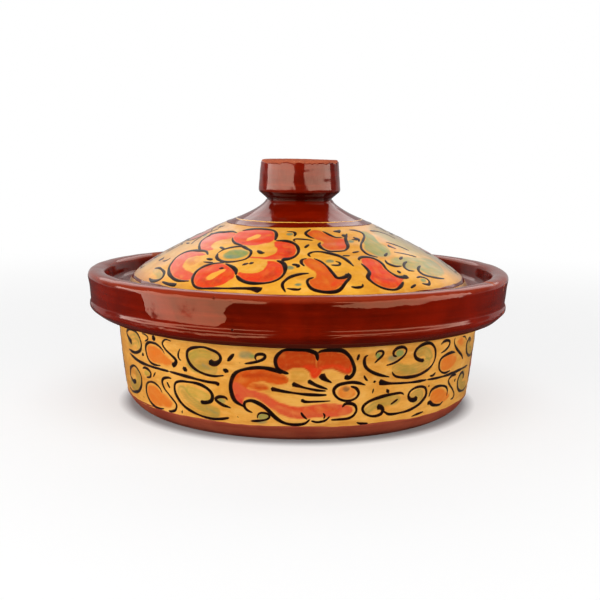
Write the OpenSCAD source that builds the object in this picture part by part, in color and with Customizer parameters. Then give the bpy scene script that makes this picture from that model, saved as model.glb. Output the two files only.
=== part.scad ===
// Tagine: a thrown dish with a deep collar, and a conical lid with a luted knob.
// Fired clay, coated all over with thin layers of slip and glaze.
// Every piece is turned on the vertical axis. The origin is the centre of the foot.

/* [Dish] */
// Outside diameter over the crest of the collar
collar_d = 300; // [260:1:360]
// Height of the dish, from its foot to the crest of the collar
dish_h = 96.4; // [86:0.1:120]
// Thickness of the wall
dish_wall = 12.5; // [9:0.5:15]
// Thickness of the floor
dish_floor = 10.5; // [7:0.5:16]
// How far the wall leans in, from the collar down to the foot band
wall_lean = 5.8; // [0:0.1:12]
// How far the wall swells out between the foot band and the collar
wall_swell = 0.6; // [0:0.1:3]
// Height of the foot band
heel_h = 10.7; // [6:0.1:18]
// How far the flat foot stays inside the top of the foot band
foot_in = 9.2; // [5:0.1:16]
// How far the heel is tucked in below the top of the foot band
heel_tuck = 3; // [1:0.1:5]
// Radius between the floor and the wall, inside
pan_r = 16; // [6:1:26]

/* [Collar] */
// Height of the collar, from its underside to its crest
collar_h = 33; // [28:0.5:40]
// Width of the rounded crest
crest_w = 12.8; // [9:0.2:16]
// How far the crest is rounded down at its sides
crest_drop = 4.9; // [2:0.1:7]
// How far the face leans in from the crest to the groove
face_lean = 1.9; // [0.5:0.1:5]
// How far the face is hollowed
face_hollow = 0.4; // [0:0.1:2]
// How far the bead at the bottom stays inside the crest
bead_in = 1; // [0:0.1:3]
// Radius of the bead's section
bead_r = 4; // [2.5:0.1:5]
// Height of the bevel under the bead
bevel_h = 5.8; // [3:0.1:8]
// Width of the bevel under the bead
bevel_w = 8.6; // [4:0.1:12]

/* [Gallery] */
// Depth of the lid's seat below the crest
seat_drop = 16.4; // [13:0.1:22]
// Room between the crest's inner side and the lid's edge
gallery_w = 15.4; // [8:0.1:20]
// How far the lid's edge lies out over the seat
seat_lap = 5.3; // [4:0.1:8]
// Room around the lid's edge, on the seat
lid_play = 1.8; // [0.5:0.1:3]
// Height of the upright face inside the crest
gallery_face_h = 8.6; // [5:0.1:11]
// How far the ledge rises from the seat to the upright face
ledge_rise = 3; // [1:0.1:6]
// Height left between the seat and the lid's edge
seat_gap = 0.3; // [0.1:0.1:1]

/* [Lid] */
// Height of the lid, from its edge to the groove below the knob
lid_h = 64.6; // [50:0.1:110]
// Thickness of the lid's shell
lid_wall = 8; // [5:0.5:10]
// Thickness of the clay under the knob
crown_t = 12; // [8:0.5:18]
// Height of the rounding under the lid's edge
edge_round = 3; // [1.5:0.1:4]
// Height of the yellow lip, from the lid's edge
lip_h = 9.4; // [5:0.1:11]
// Height of the brown line above the yellow lip
line_h = 2.6; // [1:0.1:5]
// Height from the top of the painted band to the groove
neck_h = 16.7; // [13:0.1:24]
// Distance from the top of the painted band in to the ring line
band_gap = 6.4; // [3:0.1:10]
// Width of the ring line around the neck
line_w = 1.2; // [0.6:0.1:3]
// Distance from the ring line in to the roll at the top of the neck
neck_w = 20; // [14:0.1:30]
// How far the roll stands out of the groove
roll_out = 1.6; // [0.8:0.1:3]

/* [Knob] */
// Largest diameter of the knob, near its bottom
knob_d = 58.6; // [54:0.2:70]
// Height of the knob above the groove
knob_h = 28.1; // [22:0.1:40]
// How far the knob leans in towards its rim
knob_lean = 1.4; // [0:0.1:4]
// How far the groove between neck and knob is cut in
groove_in = 6.5; // [4:0.1:9]
// Height of the bevel under the knob
knob_bevel_h = 5; // [3:0.1:8]
// Height of the bare clay rim above the glaze
bare_h = 2.2; // [1:0.1:5]
// Thickness of the knob's wall at its rim
knob_wall = 6; // [4:0.2:9]
// Depth of the cup in the knob
cup_depth = 14; // [6:0.5:18]

/* [Coats] */
// Thickness of each coat of slip or glaze
coat_t = 0.6; // [0.3:0.1:0.9]

/* [Hidden] */
$fn = 144;

CLAY = [0.71, 0.36, 0.22];
BROWN = [0.44, 0.09, 0.02];
FOOT = [0.53, 0.21, 0.15];
YELLOW = [0.95, 0.66, 0.30];

// Curves. Each list of points leaves out the curve's own first point.
function mix(a, b, t) = a + (b - a) * t;
function bend_at(a, c, b, t) = mix(mix(a, c, t), mix(c, b, t), t);
function sweep_at(a, c, d, b, t) = mix(bend_at(a, c, d, t), bend_at(c, d, b, t), t);
function bend(a, c, b, n = 6) = [for (i = [1:n]) bend_at(a, c, b, i / n)];
function sweep(a, c, d, b, n) = [for (i = [1:n]) sweep_at(a, c, d, b, i / n)];
function on_ring(c, r, turn) = c + r * [cos(turn), sin(turn)];
function arc(c, r, from, to, n) = [for (i = [1:n]) on_ring(c, r, mix(from, to, i / n))];

// Inset: each point of a path moved square to it, to its left, which is where the clay lies.
function side(a, b) = [a[1] - b[1], b[0] - a[0]] / norm(b - a);
function mitre(m, n) = (m + n) / (1 + m * n);
function inset(p, t) = [
    for (i = [0:len(p) - 1])
        let(before = side(p[max(i - 1, 0)], p[max(i, 1)]))
        let(after = side(p[min(i, len(p) - 2)], p[min(i + 1, len(p) - 1)]))
        p[i] + t * mitre(before, after)
];
function last(p) = p[len(p) - 1];
function part_of(p, from, to) = [for (i = [from:to]) p[i]];
function back(p) = [for (i = [len(p) - 1:-1:0]) p[i]];

// Radii of the dish, each worked out from its outer neighbour.
collar_r = collar_d / 2;
open_r = collar_r - crest_w;
lid_r = open_r - gallery_w;
pan_top_r = lid_r - seat_lap;
wall_top_r = pan_top_r + dish_wall;
heel_r = wall_top_r - wall_lean;
foot_r = heel_r - foot_in;

// Dish, outside: heel, wall and collar.
under_z = dish_h - collar_h;
corner_z = under_z + 1.2;
crest_z = dish_h - crest_drop;
bead_out = collar_r - bead_in;
under_out = [bead_out - 1.4 - bevel_w, under_z];
under_in = [mix(wall_top_r, under_out[0], 0.6), under_z];
bead_c = [bead_out - bead_r, under_z + bevel_h + 0.77 * bead_r];
groove = [collar_r - face_lean, bead_c[1] + bead_r + 0.8];
crest_out = [collar_r, crest_z];
crest_top = [collar_r - 0.47 * crest_w, dish_h];
crest_in = [open_r, dish_h - 0.75 * crest_drop];

heel_pts = bend([foot_r, 0], [heel_r - heel_tuck, 0.3 * heel_h], [heel_r, heel_h]);
wall_mid = [(heel_r + wall_top_r) / 2 + 2 * wall_swell, (heel_h + corner_z) / 2];
wall_pts = bend([heel_r, heel_h], wall_mid, [wall_top_r, corner_z], 5);
under_pts = concat([under_in], bend(under_in, under_out, under_out + [4, 0.42 * bevel_h], 4));
bead_pts = arc(bead_c, bead_r, -50, 40, 7);
face_pts = concat(
    bend(last(bead_pts), groove - [0.1, 1], groove, 3),
    bend(groove, mix(groove, crest_out, 0.5) - [face_hollow, 0], crest_out)
);
crest_pts = concat(
    bend(crest_out, [collar_r, dish_h], crest_top),
    bend(crest_top, [open_r, dish_h], crest_in)
);

// Dish, inside: gallery, seat, pan wall and floor.
seat_z = dish_h - seat_drop;
seat_out = [lid_r + lid_play, seat_z];
face_foot = [open_r - 1.2, dish_h - gallery_face_h];
ledge_top = [mix(seat_out[0], face_foot[0], 0.6), seat_z + ledge_rise];
pan_corner = [heel_r - dish_wall, dish_floor];
pan_edge = [pan_top_r, seat_z];
pan_up = (pan_edge - pan_corner) / norm(pan_edge - pan_corner);
edge_out = pan_edge + [1.2, 0];
pan_side = pan_corner + pan_r * pan_up;

gallery_pts = concat(
    [face_foot],
    bend(face_foot, [face_foot[0] - 0.3, ledge_top[1] + 0.6], ledge_top),
    bend(ledge_top, mix(ledge_top, seat_out, 0.7), seat_out, 3)
);
pan_pts = concat(
    [edge_out],
    bend(edge_out, pan_edge, pan_edge - 1.6 * pan_up, 4),
    [pan_side],
    bend(pan_side, pan_corner, pan_corner - [pan_r, 0], 8),
    [[0, dish_floor]]
);

dish_skin = concat(heel_pts, wall_pts, under_pts, bead_pts, face_pts, crest_pts, gallery_pts, pan_pts);
dish_clay = inset(dish_skin, coat_t);
band_from = len(heel_pts) - 1;
band_to = band_from + len(wall_pts);

// Radii and heights of the lid and the knob, worked out from the seat and from the knob.
edge_z = seat_z + seat_gap;
groove_z = edge_z + lid_h;
knob_top_z = groove_z + knob_h;
knob_r = knob_d / 2;
knob_rim_r = knob_r - knob_lean;
groove_r = knob_r - groove_in;
roll_r = groove_r + roll_out;
line_r = roll_r + neck_w;
band_r = line_r + line_w + band_gap;

// Lid, outside: the cone rises from the upright edge, steeper there than at the painted band's top.
NECK_SLOPE = 0.4;
band_top = [band_r, groove_z - neck_h];
line_out = band_top + (band_r - line_r - line_w) * [-1, NECK_SLOPE];
line_in = band_top + (band_r - line_r) * [-1, NECK_SLOPE];
roll = [roll_r, groove_z - 1.7];
cone_foot = [lid_r, edge_z + edge_round];
cone_run = lid_r - band_r;
cone_fall = band_top[1] - cone_foot[1];
cone_low = cone_foot + [0, 0.26 * cone_fall];
cone_high = band_top + [0.47 * cone_run, -0.35 * cone_fall];
function cone_at(t) = sweep_at(cone_foot, cone_low, cone_high, band_top, t);
function cone_t(z, lo = 0, hi = 1, n = 20) =
    let(mid = (lo + hi) / 2)
    n == 0 ? mid : cone_at(mid)[1] < z ? cone_t(z, mid, hi, n - 1) : cone_t(z, lo, mid, n - 1);
function cone(from, to, n) = [for (i = [1:n]) cone_at(mix(from, to, i / n))];
line_t = cone_t(edge_z + lip_h);
field_t = cone_t(edge_z + lip_h + line_h);

edge_start = [lid_r - 1, edge_z];
lip_pts = concat(bend(edge_start, [lid_r, edge_z], cone_foot, 5), cone(0, line_t, 3));
line_pts = cone(line_t, field_t, 1);
field_pts = cone(field_t, 1, 16);
neck_bow = mix(line_in, [roll_r, line_in[1]], 0.32) + [0, 2.6];
neck_pts = concat(
    sweep(line_in, neck_bow, roll + [2.8, -4], roll, 8),
    bend(roll, [roll_r - 0.4, groove_z - 0.5], [groove_r + 0.4, groove_z - 0.3], 4)
);

// Knob, outside: bevel and side, up to the glaze line.
bevel_top = [knob_r - 0.8, groove_z + knob_bevel_h];
knob_low = [knob_r, bevel_top[1] + 1.6];
glaze_top = [knob_rim_r, knob_top_z - bare_h];
knob_pts = concat(
    [[groove_r + 0.3, groove_z + 0.4], bevel_top],
    bend(bevel_top, [knob_r, bevel_top[1] + 0.4], knob_low, 4),
    [glaze_top]
);

lid_skin = concat(
    [edge_start], lip_pts, line_pts, field_pts, [line_out, line_in], neck_pts,
    [[groove_r, groove_z]], knob_pts
);
lid_clay = inset(lid_skin, coat_t);
line_from = len(lip_pts);
field_from = line_from + len(line_pts);
field_to = field_from + len(field_pts);
ring_from = field_to + 1;
ring_to = ring_from + 1;
neck_to = ring_to + len(neck_pts) + 1;
knob_to = len(lid_skin) - 1;

// Lid, inside: the dome that the shell leaves, from its crown to the bare seat ring.
crown_z = groove_z - crown_t;
dome_low = inset(part_of(field_pts, 2, len(field_pts) - 1), lid_wall);
dome_foot = dome_low[0];
dome_fall = (dome_low[1][1] - dome_foot[1]) / (dome_foot[0] - dome_low[1][0]);
edge_in = [lid_r - lid_wall - 0.6, edge_z + 0.8 * edge_round];
edge_bend = [edge_in[0], dome_foot[1] - dome_fall * (edge_in[0] - dome_foot[0])];
dome_skin = concat(
    [[0, crown_z]],
    back(bend(last(dome_low), [12, crown_z], [8, crown_z])),
    back(dome_low),
    bend(dome_foot, edge_bend, edge_in),
    bend(edge_in, [edge_in[0], edge_z], [edge_in[0] + 2, edge_z], 4)
);
dome_clay = inset(dome_skin, coat_t);
dome_end = len(dome_skin) - 1;

// Knob: bare rim and cup.
rim_in_r = knob_rim_r - knob_wall;
cup_z = knob_top_z - cup_depth;
rim_in = [rim_in_r + 1.5, knob_top_z];
cup_side = [rim_in_r - 2, cup_z + 5];
cup_pts = concat(
    bend(glaze_top, [knob_rim_r, knob_top_z], [knob_rim_r - 1.8, knob_top_z], 5),
    [rim_in],
    bend(rim_in, [rim_in_r, knob_top_z], [rim_in_r - 0.4, knob_top_z - 2.2], 5),
    [cup_side],
    bend(cup_side, [rim_in_r - 3, cup_z], [rim_in_r - 8, cup_z]),
    [[0, cup_z]]
);

module turned(p) {
    rotate_extrude() polygon(p);
}

module coat(skin, clay, from, to) {
    turned(concat(part_of(skin, from, to), back(part_of(clay, from, to))));
}

module dish_body() {
    color(CLAY) turned(concat([[0, 0], [foot_r, 0], dish_skin[0]], dish_clay));
}

module dish_foot_band() {
    color(FOOT) coat(dish_skin, dish_clay, 0, band_from);
}

module dish_painted_band() {
    color(YELLOW) coat(dish_skin, dish_clay, band_from, band_to);
}

module dish_glaze() {
    color(BROWN) coat(dish_skin, dish_clay, band_to, len(dish_skin) - 1);
}

module lid_body() {
    seat_ring = [dome_skin[dome_end], edge_start];
    crown = [0, lid_clay[neck_to][1]];
    color(CLAY) turned(concat(seat_ring, part_of(lid_clay, 0, neck_to), [crown], dome_clay));
}

module lid_edge_lip() {
    color(YELLOW) coat(lid_skin, lid_clay, 0, line_from);
}

module lid_edge_line() {
    color(BROWN) coat(lid_skin, lid_clay, line_from, field_from);
}

module lid_painted_band() {
    color(YELLOW) coat(lid_skin, lid_clay, field_from, field_to);
}

module lid_neck_line() {
    color(YELLOW) coat(lid_skin, lid_clay, ring_from, ring_to);
}

module lid_neck_glaze() {
    color(BROWN) {
        coat(lid_skin, lid_clay, field_to, ring_from);
        coat(lid_skin, lid_clay, ring_to, neck_to);
    }
}

module lid_inner_glaze() {
    color(BROWN) coat(dome_skin, dome_clay, 0, dome_end);
}

module knob() {
    luting = [0, lid_clay[neck_to][1]];
    color(CLAY) turned(concat([luting], part_of(lid_clay, neck_to, knob_to), [glaze_top], cup_pts));
}

module knob_glaze() {
    color(BROWN) coat(lid_skin, lid_clay, neck_to, knob_to);
}

dish_body();
dish_foot_band();
dish_painted_band();
dish_glaze();
lid_body();
lid_edge_lip();
lid_edge_line();
lid_painted_band();
lid_neck_line();
lid_neck_glaze();
lid_inner_glaze();
knob();
knob_glaze();
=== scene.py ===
"""Looks of a painted tagine pot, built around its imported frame.

Lengths are in millimetres until a mesh is made. A turned path is a list of (radius, height) points that
runs with the piece's outer side on its right. theta is the angle round the pot: 0 at the front (-Y),
growing towards +X.
"""
import math

import bpy
import numpy as np
from mathutils import Matrix


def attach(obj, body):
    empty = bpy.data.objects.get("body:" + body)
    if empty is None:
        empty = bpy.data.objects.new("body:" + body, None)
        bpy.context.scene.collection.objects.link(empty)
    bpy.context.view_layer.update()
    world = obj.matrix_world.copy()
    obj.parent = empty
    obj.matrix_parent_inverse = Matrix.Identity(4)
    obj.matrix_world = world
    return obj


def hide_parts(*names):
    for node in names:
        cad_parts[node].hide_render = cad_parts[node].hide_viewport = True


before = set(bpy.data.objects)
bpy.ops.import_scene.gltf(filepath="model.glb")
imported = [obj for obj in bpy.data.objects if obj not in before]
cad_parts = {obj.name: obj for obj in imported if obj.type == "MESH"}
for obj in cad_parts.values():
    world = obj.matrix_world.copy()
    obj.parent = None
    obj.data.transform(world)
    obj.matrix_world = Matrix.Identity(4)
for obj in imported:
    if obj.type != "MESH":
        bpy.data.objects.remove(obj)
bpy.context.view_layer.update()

MM = 0.001
TAU = 2 * math.pi


# ---------------------------------------------------------------- curves

def bend(a, c, b, n=10):
    """Quadratic curve from a to b, pulled towards c, without its first point."""
    t = np.linspace(0, 1, n + 1)[1:, None]
    return (1 - t) ** 2 * a + 2 * t * (1 - t) * c + t ** 2 * b


def sweep(a, c, d, b, n):
    """Cubic curve from a to b, without its first point."""
    t = np.linspace(0, 1, n + 1)[1:, None]
    return (1 - t) ** 3 * a + 3 * t * (1 - t) ** 2 * c + 3 * t ** 2 * (1 - t) * d + t ** 3 * b


def arc(centre, radius, start, end, n):
    """Arc between two angles in degrees, without its first point."""
    turn = np.radians(np.linspace(start, end, n + 1)[1:, None])
    return radius * np.hstack([np.cos(turn), np.sin(turn)]) + centre


def along(path):
    """Distance from the first point to each point of a path."""
    return np.concatenate([[0], np.cumsum(np.linalg.norm(np.diff(path, axis=0), axis=1))])


def spaced(path, step):
    """The same path with points at an even step."""
    length = along(path)
    count = max(2, int(round(length[-1] / step)) + 1)
    at = np.linspace(0, length[-1], count)
    return np.stack([np.interp(at, length, column) for column in path.T], 1)


def softened(path, step, passes):
    """An evenly spaced path with its corners rounded off, and its ends kept."""
    path = spaced(path, step)
    for _ in range(passes):
        path[1:-1] = 0.25 * path[:-2] + 0.5 * path[1:-1] + 0.25 * path[2:]
    return path


def normals(path):
    """The unit direction to the right of a path at each of its points."""
    ahead = np.gradient(path, axis=0)
    ahead /= np.linalg.norm(ahead, axis=1)[:, None]
    return np.stack([ahead[:, 1], -ahead[:, 0]], 1)


def spline(knots, step, closed=False):
    """A smooth curve through the knots, with points about a step apart."""
    if closed:
        padded = np.vstack([knots[-1], knots, knots[:2]])
    else:
        padded = np.vstack([2 * knots[0] - knots[1], knots, 2 * knots[-1] - knots[-2]])
    pieces = []
    t = np.linspace(0, 1, 9)[:-1, None]
    for a, b, c, d in zip(padded, padded[1:], padded[2:], padded[3:]):
        pieces.append(0.5 * (2 * b + (c - a) * t + (2 * a - 5 * b + 4 * c - d) * t ** 2
                             + (3 * b - a - 3 * c + d) * t ** 3))
    pieces.append(padded[-2:-1])
    return spaced(np.vstack(pieces), step)


def smooth_step(x, low, high):
    t = np.clip((x - low) / (high - low), 0, 1)
    return t * t * (3 - 2 * t)


def ripple(x, y, seed):
    """A smooth uneven field, about -1 to 1, with waves of about one unit."""
    rng = np.random.RandomState(seed)
    total = np.zeros(np.broadcast(x, y).shape)
    for _ in range(7):
        turn, phase, rate = rng.uniform(0, TAU), rng.uniform(0, TAU), rng.uniform(0.6, 1.5)
        total = total + np.sin(TAU * rate * (x * math.cos(turn) + y * math.sin(turn)) + phase)
    return total / 3.2


# ---------------------------------------------------------------- outline of the pot

COLLAR_R, OPEN_R, LID_R = 150, 137.2, 121.8
UNDER_Z, CORNER_Z, DISH_H = 63.4, 64.6, 96.4
HEEL, WALL_TOP, GROOVE = (123.2, 10.7), (129, CORNER_Z), (148.1, 77.1)
SEAT_Z, EDGE_Z, FLOOR_Z = 80, 80.3, 10.5
SEAT_IN = (117.7, SEAT_Z)
KNOB_R, KNOB_TOP, CUP_Z, CROWN_Z = 29.3, 173, 159, 132.9
KNOB_FOOT = [(22.8, 144.9), (23.1, 145.3), (28.5, 149.9)]

foot_path = np.vstack([[(112, 0), (114, 0)], bend((114, 0), (120.2, 3.2), HEEL)])
wall_path = np.vstack([[HEEL], bend(HEEL, (127.3, 37.65), WALL_TOP, 40)])

bead = arc((145, 72.28), 4, -50, 40, 12)
collar_path = np.vstack([
    [WALL_TOP, (135, UNDER_Z)],
    bend((135, UNDER_Z), (139, UNDER_Z), (143, 65.9), 8),
    bead,
    bend(bead[-1], (148, 76.1), GROOVE, 4),
    bend(GROOVE, (148.65, 84.3), (COLLAR_R, 91.5)),
    bend((COLLAR_R, 91.5), (COLLAR_R, DISH_H), (143.98, DISH_H)),
    bend((143.98, DISH_H), (OPEN_R, DISH_H), (OPEN_R, 92.7)),
    [(136, 87.8)],
    bend((136, 87.8), (135.7, 83.6), (131, 83)),
    bend((131, 83), (125.8, 80.9), (123.6, SEAT_Z), 5),
    [SEAT_IN],
])
pan_path = np.vstack([
    [SEAT_IN],
    bend(SEAT_IN, (116.5, SEAT_Z), (116.4, 78.4), 4),
    [(112.1, 26.5)],
    bend((112.1, 26.5), (110.7, FLOOR_Z), (94.7, FLOOR_Z), 14),
    [(1, FLOOR_Z)],
])

BAND_TOP, CONE_FOOT = (52, 128.2), (LID_R, 83.3)
cone_path = np.vstack([[BAND_TOP], sweep(BAND_TOP, (84.8, 112.5), (LID_R, 95), CONE_FOOT, 80)])
# Distances down the cone at which its painted field and the brown line below it end.
FIELD_END, LINE_END = 75, 77.6
edge_path = np.vstack([[(120.8, EDGE_Z)], bend((120.8, EDGE_Z), (LID_R, EDGE_Z), CONE_FOOT, 8)])
neck_path = np.vstack([
    [BAND_TOP, (45.6, 130.76), (44.4, 131.24)],
    sweep((44.4, 131.24), (38, 133.8), (27.2, 139.2), (24.4, 143.2), 24),
    bend((24.4, 143.2), (24, 144.4), (23.2, 144.6), 6),
    KNOB_FOOT,
])
knob_path = np.vstack([
    KNOB_FOOT,
    bend(KNOB_FOOT[-1], (KNOB_R, 150.3), (KNOB_R, 151.5), 5),
    [(27.9, 170.8)],
])
knob_clay_path = np.vstack([
    [(28.6, 158), (27.75, 170)],
    bend((27.75, 170), (27.8, KNOB_TOP), (26.1, KNOB_TOP), 8),
    [(23.4, KNOB_TOP)],
    bend((23.4, KNOB_TOP), (21.9, KNOB_TOP), (21.5, 170.8), 8),
    [(19.9, 164)],
    bend((19.9, 164), (18.9, CUP_Z), (13.9, CUP_Z), 8),
    [(1, CUP_Z)],
])
dome_path = np.vstack([
    [(1, CROWN_Z), (8, CROWN_Z)],
    bend((8, CROWN_Z), (12, CROWN_Z), (22, 131.3)),
    sweep((22, 131.3), (80, 108), (113.2, 96), (113.2, 82.7), 60),
    bend((113.2, 82.7), (113.2, EDGE_Z), (115.2, EDGE_Z), 5),
])


# ---------------------------------------------------------------- meshes

def new_thing(name, vertices, faces, uv=None, **attributes):
    """A smooth object. uv has a place for each corner of each face, and each attribute has a number or
    a colour for each vertex."""
    mesh = bpy.data.meshes.new(name)
    mesh.from_pydata((vertices * MM).tolist(), [], faces)
    mesh.polygons.foreach_set("use_smooth", [True] * len(mesh.polygons))
    if uv is not None:
        mesh.uv_layers.new(name="OFBake").uv.foreach_set("vector", uv.astype(np.float32).ravel())
    for key, values in attributes.items():
        kind, field = ("FLOAT_COLOR", "color") if values.ndim == 2 else ("FLOAT", "value")
        layer = mesh.attributes.new(key, kind, "POINT")
        layer.data.foreach_set(field, values.astype(np.float32).ravel())
    mesh.update()
    thing = bpy.data.objects.new(name, mesh)
    bpy.context.scene.collection.objects.link(thing)
    return thing


def round_mesh(name, place, uv, cap=False, **attributes):
    """A sheet of quads through place, an array of rows by columns by xyz, which is closed round the pot.
    uv(rows, columns) gives the map's place for grid indices, where the column may be one past the last.
    cap closes the last row with a fan."""
    rows, columns = place.shape[:2]
    i, j = np.meshgrid(np.arange(rows - 1), np.arange(columns), indexing="ij")
    row = np.stack([i, i, i + 1, i + 1], -1).reshape(-1, 4)
    column = np.stack([j, j + 1, j + 1, j], -1).reshape(-1, 4)
    faces = (row * columns + column % columns).tolist()
    vertices, spots = place.reshape(-1, 3), uv(row, column).reshape(-1, 2)
    if cap:
        n, first, centre = np.arange(columns), (rows - 1) * columns, rows * columns
        vertices = np.vstack([vertices, place[-1].mean(0)])
        faces += np.stack([first + n, first + (n + 1) % columns, centre + 0 * n], 1).tolist()
        fan = uv(np.full((columns, 3), rows - 1), np.stack([n, n + 1, n], -1))
        spots = np.vstack([spots, fan.reshape(-1, 2)])
    return new_thing(name, vertices, faces, spots, **attributes)


def round_the_pot(columns):
    """Angles of the columns, from the back round to the back."""
    return np.linspace(-math.pi, math.pi, columns + 1)[:-1]


def at_angle(radius, theta, height):
    return np.stack([radius * np.sin(theta), -radius * np.cos(theta), height + 0 * theta], -1)


def turned(name, path, columns, uneven, cap=False):
    """A surface turned from a path, moved along its normals by uneven(theta, radius, height)."""
    theta = round_the_pot(columns)[None, :]
    radius, height = path[:, :1], path[:, 1:]
    side = normals(path)
    move = uneven(theta, radius, height)
    place = at_angle(radius + side[:, :1] * move, theta, height + side[:, 1:] * move)
    share = along(path) / along(path)[-1]
    return round_mesh(name, place, lambda row, column: np.stack([column / columns, share[row]], -1), cap)


# How uneven the thrown clay is. Slow waves are the pot's own, rings are the thrower's fingers, and the
# seat between dish and lid stays true.

def dish_uneven(theta, radius, height):
    slow = 0.22 * np.sin(2 * theta + 0.6 + height / 70) + 0.12 * np.sin(3 * theta - 1.1 + height / 35)
    fine = 0.04 * np.sin(height / 0.95 + 0.8 * np.sin(theta))
    rings = fine + 0.05 * np.sin(height / 2.3 + 1.7 * np.sin(2 * theta))
    return slow + rings + 0.06 * ripple(theta * 9, height / 14, 3)


def collar_uneven(theta, radius, height):
    seat = smooth_step(np.abs(height - SEAT_Z), 1, 7) + smooth_step(radius, 134, 140)
    under = smooth_step(radius, 130, 136) * smooth_step(72 - height, 0, 6)
    wave = np.sin(2 * theta + 0.4) + 0.6 * np.sin(3 * theta + 2.1) + 0.3 * np.sin(7 * theta)
    slow = 0.16 * np.sin(2 * theta + 0.6 + height / 40) + 0.1 * np.sin(5 * theta + height / 20)
    fine = 0.010 * np.sin(height / 0.8 + 1.2 * np.sin(theta))
    rings = fine + 0.02 * np.sin(height / 2.2 + 2 * np.sin(theta))
    face = rings + 0.1 * ripple(theta * 5, height / 14, 5)
    return np.clip(seat, 0, 1) * (slow + face - 0.3) + under * (0.55 + 0.3 * wave)


def pan_uneven(theta, radius, height):
    away = smooth_step(SEAT_Z - height, 2, 10)
    slow = 0.15 * np.sin(2 * theta + 1)
    rings = 0.07 * np.sin((height + (116 - radius)) / 1.4 + 0.5 * np.sin(theta))
    return away * (slow + rings + 0.1 * ripple(theta * 6, (height - radius) / 22, 8))


def lid_uneven(theta, radius, height):
    away = smooth_step(height - EDGE_Z, 4, 14)
    slow = 0.25 * np.sin(2 * theta + 2.2 + height / 30) + 0.14 * np.sin(3 * theta + 0.3)
    fine = 0.05 * np.sin(radius / 1.15 + 0.7 * np.sin(theta + 1))
    rings = fine + 0.06 * np.sin(radius / 2.9 + np.sin(2 * theta))
    clouds = 0.1 * ripple(radius * np.sin(theta) / 26, radius * np.cos(theta) / 26, 11)
    return away * (slow + rings + clouds)


def knob_uneven(theta, radius, height):
    fine = 0.006 * np.sin(height / 0.62 + 0.9 * np.sin(theta))
    rings = fine + 0.022 * np.sin(height / 1.5 + 2 * np.sin(theta))
    return 0.16 * np.sin(2 * theta + 0.5) + rings + 0.07 * ripple(theta * 3.5, height / 9, 13)


def neck_uneven(theta, radius, height):
    """As the lid below the neck, and as the knob above it."""
    fade = smooth_step(50 - radius, 0, 8)
    knob = knob_uneven(theta, radius, height) * fade * 0.6
    return 0.12 + lid_uneven(theta, radius, height) * (1 - fade) + knob


# ---------------------------------------------------------------- places on the painted surfaces

CHART_R = 126


def on_dish(theta, z, lift=0.0):
    """A place on the dish's wall, at a height z, lifted off it."""
    radius = np.interp(z, wall_path[:, 1], wall_path[:, 0])
    return at_angle(radius + dish_uneven(theta, radius, z) + lift, theta, z)


def slope_places(path, side, uneven):
    """A function like on_dish for a sloping path, with the distance s along it for the height. side has
    the path's outer directions."""
    length = along(path)

    def place(theta, s, lift=0.0):
        radius, height, out, up = (np.interp(s, length, column) for column in np.hstack([path, side]).T)
        move = uneven(theta, radius, height) + lift
        return at_angle(radius + out * move, theta, height + up * move)

    return place


cone = spaced(cone_path, 0.5)
cone_s = along(cone)
on_lid = slope_places(cone, -normals(cone), lid_uneven)
neck_full = softened(neck_path, 0.5, 2)
on_neck = slope_places(neck_full, normals(neck_full), neck_uneven)


def cone_r(s):
    return np.interp(s, cone_s, cone[:, 0])


# ---------------------------------------------------------------- paint

def srgb(r, g, b):
    """A colour in linear light, from its 0 to 255 values."""
    c = np.array([r, g, b], float) / 255
    return np.where(c <= 0.04045, c / 12.92, ((c + 0.055) / 1.055) ** 2.4)


ORANGE = srgb(218, 84, 14)
LIGHT_ORANGE = srgb(232, 120, 34)
RED = srgb(230, 58, 16)
DEEP_ORANGE = srgb(184, 50, 4)
TOP_ORANGE = srgb(198, 62, 5)
CRIMSON = srgb(214, 48, 44)
ROSE = srgb(228, 72, 30)
DEEP_RED = srgb(160, 26, 8)
PINK = srgb(224, 88, 50)
OCHRE = srgb(206, 140, 40)
YELLOW = srgb(248, 172, 56)
SAGE = srgb(132, 148, 78)
GREEN = srgb(152, 138, 60)
OLIVE = srgb(178, 156, 60)
BLUE_GREEN = srgb(84, 128, 98)
SMOKE = srgb(96, 74, 50)
KHAKI = srgb(160, 134, 54)


def line(*path, w=1.6, ends="tt"):
    """A brush line. ends has a letter for each end: t tapered, r round, b a blob."""
    return {"kind": "line", "path": path, "w": w, "ends": ends}


def fill(colour, *path, load, soft=1.3, grain=40):
    """Colour brushed into an outline. grain is the direction of its streaks in degrees."""
    return {"kind": "fill", "colour": colour, "path": path, "load": load, "soft": soft, "grain": grain}


def wash(colour, width, *path, load=0.6):
    """One stroke of a wide soft brush."""
    return {"kind": "wash", "colour": colour, "width": width, "path": path, "load": load}


def dab(colour, x, y, rx, ry, load=0.85, soft=0.8):
    """A small touch of colour, rx by ry."""
    ring = [(x + rx * math.cos(a), y + ry * math.sin(a)) for a in np.linspace(0, TAU, 9)[:-1]]
    return fill(colour, *ring, load=load, soft=soft, grain=20)


def from_path(x, y, path):
    """Distance to an open path."""
    best = np.full(x.shape, 1e9)
    for (ax, ay), (bx, by) in zip(path, path[1:]):
        dx, dy = bx - ax, by - ay
        t = np.clip(((x - ax) * dx + (y - ay) * dy) / max(dx * dx + dy * dy, 1e-9), 0, 1)
        best = np.minimum(best, (x - ax - t * dx) ** 2 + (y - ay - t * dy) ** 2)
    return np.sqrt(best)


def inside(x, y, ring):
    """Signed distance into a closed ring: above 0 inside it."""
    ring = np.vstack([ring, ring[:1]])
    within = np.zeros(x.shape, bool)
    for (ax, ay), (bx, by) in zip(ring, ring[1:]):
        with np.errstate(divide="ignore", invalid="ignore"):
            within ^= ((ay > y) != (by > y)) & (x < ax + (bx - ax) * (y - ay) / (by - ay))
    return np.where(within, 1, -1) * from_path(x, y, ring)


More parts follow.
